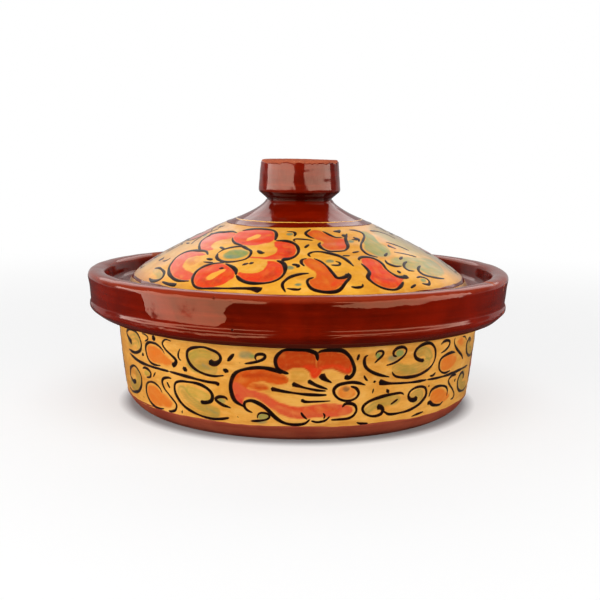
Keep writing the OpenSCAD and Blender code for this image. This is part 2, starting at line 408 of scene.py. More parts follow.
def brush_line(mark):
    """Centre points and half widths of a brush line, in its chart."""
    width = mark["w"]
    path = spline(mark["path"], 0.8)
    length = along(path)
    half = np.full(len(path), 0.58 * width)
    if length[-1] < 8:
        half *= 1.45
    half *= 1 + 0.18 * np.sin(length / 6.5 + path[0, 0]) + 0.09 * np.sin(length / 2.3 + path[0, 1])
    for end, away in zip(mark["ends"], (length, length[-1] - length)):
        if end == "t":
            half *= 0.28 + 0.72 * np.sqrt(np.clip(away / (3.2 * width), 0, 1))
        elif end == "b":
            half *= 0.92 + 0.75 * np.exp(-(away / (3.4 * width)) ** 1.6)
        half *= np.sqrt(np.clip(away / (0.45 * width), 0.02, 1))
    return path, half


def strayed(path, stray, seed):
    """The path as another hand stroke would lay it: each point moved a little, in a smooth way."""
    path = np.array(path, float)
    x, y = path.T / 30
    return path + stray * np.stack([ripple(x, y, seed), ripple(x, y, seed + 1)], 1)


class Painting:
    """One painted surface: the pigment on its grid, as premultiplied colour and cover, and its brush
    lines, each a thin raised band of dried paint.

    place(theta, y, lift) gives a spot of the surface, reach(y) the radius that turns a mark's x into an
    angle, rows the y of the grid's rows, and chart(corners) the map's place of spots in mm."""
    COLUMNS = 880
    # Across a line: shares of its half width, and how high the paint stands there.
    PROFILE = ((-1.12, -0.06), (-0.86, 0.07), (-0.35, 0.13), (0.35, 0.13), (0.86, 0.07), (1.12, -0.06))

    def __init__(self, place, reach, rows, chart, brush=1.0):
        self.place, self.reach, self.rows, self.chart, self.brush = place, reach, rows, chart, brush
        self.theta, self.y = np.meshgrid(round_the_pot(self.COLUMNS), rows)
        self.pigment = np.zeros((self.theta.size, 4))
        self.spots, self.faces, self.loads, self.count = [], [], [], 0

    def lay(self, marks, centre=0.0, stray=0.0, seed=50):
        """Lays a motif whose own line is at the angle centre."""
        turn, y = self.theta.ravel() - centre, self.y.ravel()
        reach = self.reach(y)
        for mark in marks:
            mark = dict(mark, path=strayed(mark["path"], stray, seed))
            if mark["kind"] == "line":
                self.draw(*brush_line(mark), centre)
            else:
                middle = mark["path"][:, 0].mean() / reach
                self.paint(mark, ((turn - middle + math.pi) % TAU - math.pi + middle) * reach, y)

    def draw(self, path, half, centre):
        """Adds a brush line with a centre path and half widths."""
        side = -normals(path) * self.brush * half[:, None]
        n = len(path)
        for offset, lift in self.PROFILE:
            x, y = (path + side * offset).T
            self.spots.append(self.place(centre + x / self.reach(y), y, lift))
            self.loads.append(np.full(n, 1.0 - abs(offset) ** 3 * 0.7))
        for k in range(len(self.PROFILE) - 1):
            a = self.count + k * n + np.arange(n - 1)
            self.faces.append(np.stack([a, a + 1, a + n + 1, a + n], 1))
        self.count += n * len(self.PROFILE)

    def paint(self, mark, x, y):
        """Lays one patch of colour, where x and y are the places of the grid's points in its chart."""
        path = mark["path"]
        margin = 6 + mark.get("width", 0)
        low, high = path.min(0) - margin, path.max(0) + margin
        near = np.nonzero((x > low[0]) & (x < high[0]) & (y > low[1]) & (y < high[1]))[0]
        if len(near) == 0:
            return
        x, y = x[near], y[near]
        shaky = x + 0.35 * ripple(x / 9, y / 9, 21), y + 0.35 * ripple(x / 9, y / 9, 22)
        if mark["kind"] == "fill":
            depth = inside(*shaky, spline(path, 1.5, closed=True))
            cover = smooth_step(depth, -0.6 * mark["soft"], mark["soft"])
            turn = math.radians(mark["grain"])
            across = y * math.cos(turn) - x * math.sin(turn)
            with_it = x * math.cos(turn) + y * math.sin(turn)
            rim = 0.12 * np.exp(-((depth - 0.8) / 0.9) ** 2)
        else:
            depth = mark["width"] / 2 - from_path(*shaky, spline(path, 1.5))
            cover = smooth_step(depth, -0.8, 1.4)
            across, with_it = depth * 0.8, x * 0.3 + y * 0.3
            rim = 0.1 * np.exp(-((depth - 0.6) / 0.8) ** 2) - 0.12
            rim = rim + 0.22 * ripple(across / 2, with_it / 6, 33)
        streaks = 0.13 * ripple(across / 3, with_it / 18, 31) + 0.08 * ripple(x / 10, y / 10, 32)
        cover = np.clip(cover * (mark["load"] + rim + streaks), 0, 1)[:, None]
        self.pigment[near] = self.pigment[near] * (1 - cover) + np.append(mark["colour"], 1.0) * cover

    def band(self, name):
        """The painted surface itself."""
        def uv(row, column):
            return self.chart(at_angle(self.reach(self.rows[row]), column / self.COLUMNS * TAU - math.pi,
                                       self.rows[row]))

        return round_mesh(name, self.place(self.theta, self.y), uv, pigment=self.pigment)

    def lines(self, name):
        """All brush lines, as one thing."""
        spots, faces, load = np.vstack(self.spots), np.vstack(self.faces), np.concatenate(self.loads)
        return new_thing(name, spots, faces.tolist(), self.chart(spots[faces]), load=load)


# The dish's map has a strip for each quarter of the band, and the lid's has room for its rim.
STRIPS, STRIP_FOOT, STRIP_HEIGHT = 4, 8, 60
TOP_SPAN = 252


def strip_chart(corners):
    """The dish band's map: its four quarters one above the other. corners is faces by corners by xyz."""
    middle = corners.mean(1)
    centre = np.arctan2(middle[:, 0], -middle[:, 1])
    theta = np.arctan2(corners[..., 0], -corners[..., 1])
    theta = centre[:, None] + (theta - centre[:, None] + math.pi) % TAU - math.pi
    strip = np.clip(np.floor((centre + math.pi) / (TAU / STRIPS)), 0, STRIPS - 1)[:, None]
    u = (theta + math.pi) / (TAU / STRIPS) - strip
    v = (corners[..., 2] - STRIP_FOOT) / STRIP_HEIGHT
    return np.stack([0.01 + 0.98 * u, (strip + 0.02 + 0.96 * v) / STRIPS], -1)


def top_chart(corners):
    """The lid band's map: the lid seen from above."""
    return corners[..., :2] / TOP_SPAN + 0.5


# ---------------------------------------------------------------- ornament on the dish
# x is the arc on a 126 mm radius from the front, y the height.

BIG_FLOWER = [
    fill(ORANGE, (-41, 35), (-40.3, 40), (-37.8, 43.8), (-33.5, 46), (-27, 47.6), (-20, 47.8),
         (-14, 46.8), (-8.5, 44.8), (-5, 42.3), (-5.2, 39.4), (-10.5, 38.4), (-17, 38.9), (-22, 39.3),
         (-26, 38.6), (-29.5, 37), (-31.5, 33), (-36, 31), load=0.97, soft=0.7, grain=8),
    fill(DEEP_ORANGE, (-35, 42.5), (-28, 45.2), (-19, 45.3), (-10, 43.6), (-5.5, 41), (-12, 41.6),
         (-22, 42.2), (-30, 41), load=0.5, soft=2.2, grain=8),
    fill(ORANGE, (-31, 37), (-26, 38.4), (-20, 38.4), (-16.5, 36.4), (-18.5, 34.2), (-24, 33.6),
         (-29, 34.6), load=0.85, soft=1.3, grain=5),
    fill(DEEP_ORANGE, (-26, 37), (-21, 37.4), (-18, 36), (-21, 34.8), (-25, 35), load=0.55, soft=1.6),
    fill(PINK, (-41, 36.5), (-39.8, 29), (-37.5, 25.5), (-34.5, 23.5), (-33.4, 26), (-31, 28.4),
         (-27, 28.8), (-23.5, 27.4), (-19.5, 24.6), (-15, 21.8), (-9.5, 18.8), (-2.4, 16.6), (6, 16.2),
         (15.7, 16.8), (25.4, 17.2), (32, 18), (36, 20.4), (34.5, 23.4), (31, 24.6), (26.6, 25.4),
         (20.5, 26.2), (13.3, 25.8), (6, 24.6), (-1.2, 24.2), (-8.4, 26), (-14.5, 29), (-19.3, 32),
         (-25.4, 33.6), (-31, 34.6), (-36, 38), load=0.96, soft=0.8, grain=-20),
    fill(RED, (-22, 31), (-16, 29), (-10, 25), (-3, 21.6), (6, 20.6), (16, 22), (26, 21.4), (14, 23.8),
         (3, 23.4), (-6, 25.2), (-13, 28.6), load=0.45, soft=2.4, grain=-20),
    fill(CRIMSON, (-40, 28), (-37.5, 24.6), (-33.6, 22.8), (-32.6, 25), (-35, 28.5), (-38, 31), load=0.6,
         soft=1.8),
    fill(ORANGE, (12, 20), (20, 21), (27, 20.5), (21, 24), (14, 24), load=0.45, soft=2.2, grain=0),
    fill(TOP_ORANGE, (-13.8, 52), (-12.4, 56.4), (-9.4, 59.2), (-3.6, 60.4), (3, 60.2), (8, 58.6),
         (11.4, 56.2), (11.6, 51.4), (10.8, 47.6), (7.6, 46.2), (5, 48.2), (1, 48.8), (-3.6, 48.2),
         (-7, 46.2), (-10.6, 47.4), (-13, 49.4), load=1, soft=0.7, grain=0),
    fill(DEEP_ORANGE, (-10, 50), (-3, 51.5), (4, 51), (10.5, 52), (10.5, 48.5), (6, 49.5), (0, 50),
         (-7, 48), load=0.6, soft=1.8, grain=0),
    fill(RED, (2, 50.2), (8, 51.4), (11, 50.4), (10, 47.6), (7, 47.4), (4, 49), load=0.6, soft=1.6,
         grain=0),
    fill(TOP_ORANGE, (12.3, 55), (13.4, 58.2), (18, 59.9), (24.2, 59.4), (29, 57.4), (32.6, 53.4),
         (34, 48.8), (32.6, 45.2), (29.4, 44.4), (26, 46.2), (20.5, 47.6), (15.7, 47.2), (12.6, 46),
         (11.2, 49), load=1, soft=0.7, grain=0),
    fill(RED, (13, 50), (19, 51.4), (26, 50.8), (31, 48.4), (33.2, 50.4), (33.4, 47.4), (30.6, 45.2),
         (26, 47.4), (19, 48.6), (14, 47.6), load=0.75, soft=1.6, grain=0),
    fill(RED, (7.6, 46.4), (11, 49.4), (15.4, 47), (13, 43.6), (10.9, 41.8), (9, 43), load=0.95, soft=0.9,
         grain=90),
    fill(OCHRE, (-3.5, 46.5), (1, 47.4), (5.5, 46.6), (7.5, 43), (5, 40), (0, 39.6), (-3.5, 42),
         load=0.45, soft=1.5),
    line((-32, 22), (-39, 26), (-41.3, 32.7), (-40.8, 38.5), (-38.3, 43.5), (-33.3, 46.4), (-25, 48.3),
         (-18.3, 48.3), (-12.5, 47), (-8.8, 45.2), w=2.2),
    line((-4.6, 45.2), (-9.2, 46.7), (-11.8, 48.9), (-12.9, 52.7), (-12.1, 56), (-9.6, 58.9),
         (-6.7, 60.3), (-0.8, 60.8), (5, 60.6), (9.2, 59.3), (11.7, 57.7), (12.5, 53.5), w=2.2),
    line((12.1, 58.1), (15, 59.8), (21.7, 60.3), (27.5, 59.5), (31.7, 56), (34.2, 51.4), (35.3, 47.3),
         (34.2, 43.9), (31.7, 42.3), (29.2, 43.5), w=2.2, ends="tb"),
    line((-27.5, 18.9), (-31.3, 20.6), (-32.9, 23.1), (-32.1, 25.6), (-28.3, 26.8), (-23.3, 25.2),
         (-18.3, 21.8), (-13.3, 16.8), (-8.3, 13.5), (-3.3, 12.3), (1.7, 12.3), (5.8, 13.3), (8.8, 16),
         w=2.1),
    line((9.2, 14.8), (13.3, 13.9), (18.3, 15), (21.3, 17.7), w=1.8),
    line((21.7, 15.2), (26.7, 15.3), (32.5, 15.6), (36.3, 17.3), (38.2, 20.6), (37.1, 23.9), (33.8, 25.6),
         (30.4, 25.2), (28.8, 23.1), w=1.8),
    line((2.8, 20.6), (4.2, 18.3), (7, 15.6), w=1.2),
    line((16.6, 20), (17.9, 18), (17.2, 15.8), w=1.2),
    line((-15.8, 35.3), (-6.7, 33.7), (4.2, 32.3), (13.3, 31.7), (18.8, 31.7), w=1.8, ends="bt"),
    line((-2.9, 38.9), (5, 36.4), (12.5, 34.8), (18.3, 34.2), w=1.7, ends="bt"),
    line((6.7, 41), (11.7, 38.1), (19.2, 35.2), w=1.5, ends="bt"),
    line((14.6, 45.2), (16.7, 42.3), (21.7, 39.3), w=1.9, ends="bt"),
    line((2.9, 28.9), (5.4, 27.4), (12.5, 27.4), (21.3, 27.7), w=1.4, ends="bt"),
    fill(LIGHT_ORANGE, (25.5, 32), (26, 35.5), (29, 37.6), (33, 37), (36.4, 34.4), (37, 31), (34.4, 28.8),
         (30, 28.6), (27, 30), load=0.7, soft=1.2),
    line((43.3, 36.8), (40, 38.1), (35, 39.2), (30, 38.9), (25.4, 37.7), (22.9, 34.8), (23.8, 31.4),
         (27.1, 28.5), (31.7, 27.3), (36.7, 28.5), (38.9, 31.8), (37.1, 35.2), (33.3, 36.7), w=1.7),
    dab(SMOKE, 30.4, 35.2, 2.3, 1.7, load=0.75),
    dab(SAGE, -20.5, 16.5, 4.2, 2.2, load=0.75),
    dab(BLUE_GREEN, -22, 13.4, 3.8, 1.8, load=0.5, soft=1.6),
    line((-29.2, 13.3), (-23.3, 13.9), (-18.3, 15.2), (-16.8, 17.3), (-18.3, 18.9), (-22.1, 19.2),
         (-24.2, 17.7), (-24.6, 15.2), w=1.5),
    dab(BLUE_GREEN, -31, 56, 4.6, 2.5, load=0.55, soft=1.8),
    dab(SAGE, -27, 55.2, 2.4, 1.6),
    line((-32.1, 50.3), (-25.8, 51.7), (-20.8, 53.5), (-19, 55.6), (-20.4, 57), (-23.8, 56.7),
         (-25.2, 54.8), (-24.2, 52.8), w=1.5),
]

LEFT_SCROLLS = [
    wash(GREEN, 9, (-53, 52), (-59, 52.5), (-66, 51), (-68, 47), (-62, 45.5), (-54, 45)),
    wash(OLIVE, 5, (-56, 54), (-64, 55), (-69, 52)),
    line((-55.4, 50.2), (-53.3, 48.9), (-50.8, 48.9), (-47.9, 51), (-47.5, 53.5), (-49.6, 56),
         (-53.3, 57.3), (-58.3, 58.5), (-63.3, 58.1), (-68.3, 56.8), (-71.3, 54.3), (-71.7, 50.6),
         (-70, 46.8), (-66.7, 43.9), (-61.7, 41.8), (-56.7, 40.8), (-51.7, 40.6), (-45.4, 41.7), w=1.9,
         ends="bt"),
    line((-38.3, 56.4), (-42.9, 51), w=2.3),
    line((-43.8, 46.4), (-44.6, 43.5), w=2.3, ends="rr"),
    line((-77, 55.6), (-78.8, 52.3), (-78.8, 49.3), (-76.7, 47.5), w=1.5),
    line((-73.3, 43.9), (-75, 41), w=1.9, ends="rr"),
    wash(BLUE_GREEN, 2, (-59, 19), (-55, 17), (-51.5, 15.6)),
    wash(BLUE_GREEN, 2, (-60, 47), (-56, 45.4), load=0.5),
    wash(GREEN, 9, (-78, 27), (-73, 22), (-64, 18), (-54, 16.5)),
    wash(OLIVE, 7, (-72, 29), (-64, 27), (-58, 25), load=0.55),
    line((-63.8, 22.3), (-60, 22.3), (-55.8, 23.9), (-54.4, 26.8), (-55.8, 30.2), (-59.6, 32.7),
         (-65, 34.2), (-71.7, 34.3), (-78.3, 33.9), (-82.9, 32.3), (-84.6, 29.3), (-84.2, 25.2),
         (-81.3, 20.6), (-76.7, 16.8), (-70, 14.3), (-63.3, 12.7), (-55.8, 12), (-49.2, 12.7),
         (-43.3, 14.2), w=1.9, ends="bt"),
    line((-80.6, 13.2), (-79.4, 12.8), w=2, ends="rr"),
    dab(SAGE, -48, 25, 3, 1.6, load=0.6),
    line((-43.8, 25.6), (-45.4, 27.3), (-49.2, 27.5), (-52.1, 26), (-51.3, 24.3), (-47.5, 22.3),
         (-41.7, 20.8), w=1.7),
    line((-38, 15.5), (-37, 15), w=2, ends="rr"),
    line((-88.3, 38.9), (-71.7, 37.7), (-58.3, 36.4), (-51.3, 36.2), (-49.2, 34.8), w=1.8, ends="tb"),
]

RIGHT_SCROLLS = [
    line((37.9, 57.3), (36.8, 53), w=1.8),
    line((43.8, 56.2), (41.8, 54.8), (41.5, 51.4), (42.9, 48.1), (46.7, 45.2), (52.5, 42.7), (59.6, 40.8),
         w=1.7),
    dab(SAGE, 50.5, 55.5, 2, 2),
    line((48.8, 55.2), (49.2, 57.3), (51.7, 58.3), (53.8, 57.3), (53.3, 55.2), (50.8, 53), (48.2, 50.6),
         w=1.5),
    dab(SAGE, 65.5, 55.5, 3.2, 2.6),
    dab(BLUE_GREEN, 61, 52.6, 3.8, 2.4, load=0.5, soft=1.8),
    line((63.8, 53.5), (61.3, 54.8), (61.3, 57.3), (64.2, 59.3), (68.3, 59.3), (70.7, 57.3), (69.6, 54.3),
         (65.8, 51.4), (61.3, 49.5), (56.3, 48.5)),
    wash(GREEN, 7, (64, 46), (72, 44), (82, 45), (89, 47)),
    wash(GREEN, 6, (81, 54), (86, 55), (91, 51)),
    line((86.3, 48.5), (82.5, 49.3), (79.2, 51), (77.5, 53.9), (78.8, 56.8), (82.5, 58.9), (87.5, 59.8),
         (91.7, 58.9), (95, 56), (96.8, 51.8), (96, 46.8), (92.5, 43.1), (86.7, 40.6), (80, 39.2),
         (72.5, 39.2), (65.8, 40.2), (62.5, 41.8), (60.8, 44.3), w=1.9, ends="bt"),
    line((41.5, 43.5), (42.9, 41), (44.6, 39.5)),
    line((49, 39.5), (49.3, 37.8), w=1.7, ends="rr"),
    line((48.8, 34.3), (48.2, 31), w=2.3),
    line((57.9, 31), (60, 32.3), w=1.7, ends="rr"),
    line((92.9, 37.3), (96.3, 37.3), (99, 38.9)),
    line((38.8, 12.7), (41.7, 11.6), (47.1, 11.4), w=1.5),
    line((80.4, 11.8), (85, 12.7), (91.3, 13.5), w=1.5),
    line((52.1, 38.3), (58.3, 36.8), (66.7, 36), (78.3, 35.3), (90.8, 35.2), w=1.7, ends="bt"),
    wash(GREEN, 7, (46, 20), (50, 23), (58, 25), (66, 25)),
    wash(GREEN, 5, (79, 26), (84, 28), (87, 25), (82, 22)),
    line((52.1, 21.8), (55, 21.4), (56.7, 19.3), (55.4, 16.8), (51.7, 15.8), (47.5, 16.4), (43.8, 18.5),
         (42.3, 21.4), (43.8, 24.3), (48.3, 26.7), (55.8, 28.5), (63.3, 29.3), (69.2, 29.3), (72.1, 27.7),
         w=1.9, ends="bt"),
    line((83.8, 24.3), (80.8, 23.1), (77.5, 23.9), (75.7, 26.4), (76.7, 29.3), (80.8, 31.2), (85.8, 31.4),
         (90, 29.8), (91.7, 26.4), (90.8, 23.1), (85.8, 19.3), (78.3, 16.8), (70, 15.8), (61.7, 16),
         (57.9, 18.1), (56.7, 19.3), w=1.9, ends="bt"),
    line((62.1, 22.3), (67.5, 25.6)),
]

LEFT_LEAVES = [
    line((-115.4, 59.8), (-111.7, 59.8), (-108.3, 58.5), (-108.8, 56.8), (-112, 55.2), w=1.5),
    line((-115, 46.4), (-117.5, 44.8), w=1.7, ends="rr"),
    line((-103.3, 58.1), (-99.6, 59.8), w=2.4, ends="rr"),
    fill(LIGHT_ORANGE, (-110, 44.5), (-110.5, 50), (-107, 53.5), (-100, 54), (-93, 51.5), (-88, 47.5),
         (-84, 45.5), (-87, 43), (-96, 42.5), (-104, 42.5), load=0.95, grain=10),
    line((-96.3, 41.4), (-100.8, 41), (-105.8, 41.4), (-109.6, 43.5), (-111.3, 46.8), (-111.3, 51.8),
         (-108.3, 54.8), (-103.3, 55.6), (-98.3, 55.2), (-93.8, 53), (-91.3, 50.2)),
    fill(LIGHT_ORANGE, (-115, 17), (-114.5, 22.5), (-111, 26), (-104, 26.5), (-99, 23.5), (-93, 21.5),
         (-88, 18), (-91, 14), (-98, 13), (-105, 12), (-112, 13.5), load=0.95, grain=150),
    line((-97.5, 22.7), (-100, 26), (-105, 28.1), (-110, 28.1), (-114.2, 26.4), (-116.7, 22.7),
         (-116.7, 17.7), (-113.3, 13.5), (-108.3, 11.4), (-102.5, 11.2), (-97.5, 12)),
    dab(OLIVE, -113, 33.5, 3.6, 2.4, load=0.7),
    line((-118.8, 35.6), (-115, 36.8), (-110.4, 36), (-108.3, 33.9), (-110, 31.4), (-114.6, 30.2)),
    line((-102.5, 36), (-105.8, 32.3)),
    line((-84.2, 59.3), (-89.2, 59.8), (-92.5, 57.7), (-92.5, 55.6), (-90, 53), (-85.8, 50.6), (-82, 48),
         (-81.3, 46.4), (-83, 44.2), (-85.4, 43.5), ends="tb"),
    line((-86.7, 34.3), (-90, 34.5), (-94.6, 33.1), (-96.4, 30.2), (-94.6, 26.4), (-90.4, 22.7),
         (-85.8, 18.9), (-84.6, 16), (-86.3, 13.1), (-90, 11.6), (-93.3, 11.2)),
    line((-91.7, 31.4), (-89.2, 27.3)),
    line((-139, 42.3), (-131.7, 41), (-123.3, 39.8), (-111.7, 39.2), (-88.3, 38.9), w=1.8),
]

RIGHT_LEAVES = [
    line((101.3, 57), (104.2, 58.5), (108.3, 58.9), (111.5, 57.7), (110.8, 54.8), (107.1, 52.5),
         (102.1, 51.2)),
    line((92.7, 30.8), (93.9, 30.4), w=2, ends="rr"),
    fill(LIGHT_ORANGE, (103.5, 41.5), (104.5, 46.5), (110, 48.5), (118, 48), (124, 45), (120, 40),
         (113, 38), (107, 38.5), load=0.95, grain=170),
    line((116.3, 37.3), (110, 36.8), (105.4, 38.1), (102.1, 41), (101.7, 44.8), (103.8, 47.7),
         (109.2, 49.3), (115.8, 49.8), (120.8, 48.9)),
    fill(LIGHT_ORANGE, (121, 56), (125, 58), (131, 57.5), (133, 53), (128, 52), load=0.8),
    line((118.3, 59.3), (117.7, 56.8), (118.8, 54.3), (122.5, 51), (127.5, 47.7), (131.7, 45.2),
         (135, 41.8)),
    line((130, 58.1), (135, 57.3), (138, 54.5), w=1.5),
    fill(LIGHT_ORANGE, (96, 19.5), (97.5, 25), (102, 27.5), (109, 26.5), (116, 22.5), (121, 20),
         (117, 17), (109, 16.5), (101, 17), load=0.95, grain=20),
    line((95, 22.7), (95.8, 26), (98.3, 28.1), (103.3, 28.8), (109.2, 28.1), (113.8, 26.4), (116.7, 23.1),
         (116.3, 19.8)),
    line((94.2, 17.8), (96.7, 18.9), (100.8, 16.4), (108.3, 15.3), (112.5, 16.8), ends="bt"),
    line((126.7, 32.7), (120.8, 33.1), (116.7, 31.8), (115.8, 29.8), (119.2, 26.4), (124.2, 22.7),
         (127.9, 18.9), (127.5, 16.4), (122.9, 16)),
    line((125, 30), (126, 28), w=1.7, ends="rr"),
    line((90.8, 35.2), (105, 34.7), (130, 35), (150, 34.8), w=1.7),
]

SIDE_SCROLLS_LEFT = [
    wash(GREEN, 8, (-136, 51), (-129, 54), (-122, 54.5), (-120, 50)),
    line((-132, 50.6), (-139, 53.5), (-141, 57), (-136, 59.6), (-126.7, 59.8), (-122.5, 58.9),
         (-118.8, 56.4), (-117.1, 52.3), (-118.8, 48.5), (-123.3, 46), (-130, 44.5), (-140, 45), w=1.9,
         ends="bt"),
    wash(GREEN, 8, (-142, 20), (-134, 20), (-127, 25), (-128, 30)),
    line((-132.5, 24.3), (-138.3, 22.7), (-143.5, 25.5), (-142.5, 30.2), (-138.3, 33.1), (-132.5, 34.8),
         (-126.7, 33.5), (-122.9, 30.2), (-122.5, 26), (-124.6, 21.8), (-130, 17.7), (-136.7, 15.6),
         (-145, 14.3), (-153, 15.5), w=1.9, ends="bt"),
    line((-123, 15.2), (-122, 14.8), w=2, ends="rr"),
]

SIDE_SCROLLS_RIGHT = [
    wash(GREEN, 8, (146, 52), (142, 50), (145, 46), (154, 44)),
    line((150, 52), (145, 54.5), (140.5, 52), (141.7, 46), (148.3, 42), (157, 41), (165, 44), w=1.9,
         ends="bt"),
    wash(GREEN, 8, (140, 30), (134, 27), (138, 22), (150, 20)),
    line((143, 27), (140, 31.5), (135, 31.8), (131.7, 29.3), (131.3, 25.2), (135, 20.6), (141.7, 18.1),
         (150.8, 17.3), (160, 19), w=1.9, ends="bt"),
]


# ---------------------------------------------------------------- ornament on the lid
# y is the distance down the slope from the top of the painted band, x the arc from the motif's own line.

LID_FLOWER = [
    fill(RED, (-13.6, 15.5), (-13.8, 11), (-11.6, 7), (-4, 4), (4, 3.4), (11.4, 4.8), (15.8, 9.6),
         (18, 15), (17.6, 19), (13, 22), (8, 23.8), (0, 23.8), (-6.8, 21.8), (-11.6, 18.6), load=0.98,
         soft=0.5, grain=0),
    fill(RED, (19.6, 18), (26, 18), (31.6, 20), (36.2, 23.8), (40, 29.6), (41, 34), (39, 37.2),
         (34, 39.2), (24, 39.4), (14, 39.4), (13, 37.6), (20, 37), (25.4, 35.4), (27.6, 32), (26, 27),
         (21.6, 22), load=0.98, soft=0.5, grain=20),
    fill(RED, (26.6, 41), (32, 41.6), (37.4, 44.6), (41.2, 49.6), (43, 55), (42, 59.4), (38.4, 62.6),
         (32, 64), (25, 63.4), (19, 61), (14.8, 57.4), (14.2, 54.6), (19, 55.4), (25.6, 54.8), (28.8, 51),
         (28.4, 46), load=0.98, soft=0.5, grain=60),
    fill(RED, (-1, 47.4), (-6, 48.2), (-11, 50.2), (-14.8, 54), (-16.6, 59), (-15.2, 64.8), (-11.4, 69.4),
         (-6.6, 71.6), (0, 71.6), (6, 69.6), (10.8, 65.6), (13.2, 60), (11.4, 54.6), (6, 50.8), load=0.98,
         soft=0.5, grain=90),
    fill(ROSE, (-22.4, 39), (-32, 37.4), (-41, 38.6), (-47.2, 42.2), (-49.8, 47), (-48, 55.4),
         (-43.4, 61), (-36.6, 64.8), (-28, 67.2), (-18, 66.4), (-17, 61.6), (-22, 59.4), (-29, 57.6),
         (-34.4, 53.6), (-35.8, 48), (-32, 43), (-25, 41.4), load=0.96, soft=0.6, grain=30),
    fill(ROSE, (-14.4, 11.4), (-20, 10), (-28, 12), (-36, 14), (-42, 18.6), (-43, 25), (-38.4, 30.4),
         (-32, 35), (-24, 35), (-19.6, 32.6), (-24.6, 30), (-26.6, 25), (-22.6, 20.6), (-17, 18.4),
         (-14, 16), load=0.96, soft=0.6, grain=-40),
    fill(ORANGE, (-33, 50), (-36, 44), (-31, 42.4), (-24, 44), (-22, 49), (-26, 53), (-31, 53), load=0.35,
         soft=2.6),
    fill(DEEP_RED, (33, 25.5), (38, 30), (39, 34.4), (35, 36), (32, 30), load=0.28, soft=2.4),
    fill(DEEP_RED, (36, 48), (40, 55), (37, 60.5), (29, 61.6), (33, 57), (35, 52), load=0.26, soft=2.4),
    fill(DEEP_RED, (-10, 65.5), (0, 69), (8, 65.5), (3, 63), (-6, 63), load=0.28, soft=2.2),
    fill(YELLOW, (3, 10), (6.5, 10.4), (6.4, 13.6), (3.4, 17.6), (0, 18.6), (-1.4, 16), (0.8, 13), load=1,
         soft=0.5),
    fill(YELLOW, (3, 53), (4.8, 54.6), (2.4, 58.6), (-1, 64), (-4.2, 64.6), (-5.8, 61.6), (-3, 57.6),
         (0, 54.4), load=1, soft=0.5),
    fill(SAGE, (-8, 36), (-5, 31.6), (1, 29.6), (8, 31), (10, 35.4), (6.4, 39.6), (0, 41.6), (-5.4, 40.4),
         load=0.9, soft=1.6),
    fill(BLUE_GREEN, (-6, 38.6), (0, 36.4), (6, 37.6), (4, 40.4), (-2, 41.2), load=0.6, soft=1.6),
    dab(DEEP_RED, -1.5, 21, 2, 0.8, load=0.5),
    line((-13.5, 36), (-11, 31), (-6, 27.5), (0, 25.5), (5, 28), (10, 31), (12, 36), (11, 40.5),
         (6, 43.5), (0, 45), (-6, 44), (-11, 41), (-13.5, 36)),
    line((-14, 16), (-12, 19), (-7, 22.5), (0, 24.5)),
    line((-12, 6), (-4, 3), (4, 2.5), (12, 4), (16.5, 9), (19, 15), (19.5, 17), w=1.7),
    line((20, 17), (26, 17), (32, 19), (37, 23), (41, 29), (42, 34), (40, 38), (35, 40), w=1.8,
         ends="tb"),
    line((14, 29.5), (18, 32.5), (20.5, 32.5)),
    line((32.5, 40.5), (38, 43.5), (42, 49), (44, 55), (43, 60), (39, 63.5), (32, 65), (25, 64.5),
         (19, 62), (14, 58), w=1.8),
    line((13, 45), (15, 47), w=1.7, ends="rr"),
    line((16.5, 43.5), (18.5, 45.5), w=1.7, ends="rr"),
    line((-1, 46), (-6, 47), (-11, 49), (-15.5, 53), (-17.5, 59), (-16, 65), (-12, 70), (-7, 72.5),
         (0, 72.5), w=1.7),
    line((0, 47), (6, 49.5), (11, 53), (14, 58), w=1.7),
    line((0, 51.2), (0.2, 53.4), w=1.7, ends="rr"),
    line((-20, 39.5), (-25, 36), (-32, 36), (-41, 37.5), (-48, 41.5), (-51, 47), (-49, 56), (-44, 62),
         (-37, 66), (-28, 68.5), (-17, 67.5), w=1.8),
    line((-18.5, 43.5), (-12.5, 44)),
    line((-18.5, 47.5), (-10, 47)),
    line((-14, 10), (-20, 9), (-28, 11), (-36, 13), (-43, 18), (-44, 25), (-39, 31), (-32, 36), w=1.8),
    line((-17, 28.5), (-11, 31)),
    line((-42, 72), (-34, 72.8), (-26, 72.5), w=1.8, ends="tb"),
    line((-4, 72.5), (10, 71), (22, 70), (31, 69.8), (37, 71), w=1.8, ends="tb"),
]

LID_SIDE = [
    wash(GREEN, 6, (-62, 64), (-54, 66), (-49, 68)),
    line((-66, 63), (-60, 61.5), (-54, 62), (-48, 64), (-45.2, 68), (-47.5, 71.5), (-54, 73.2), (-61, 72),
         w=1.8),
    line((-58, 50), (-61, 53.5), (-66, 55)),
    line((-70, 52), (-74, 56), w=1.8, ends="rr"),
    line((-52, 22), (-55, 27), (-53, 32)),
]

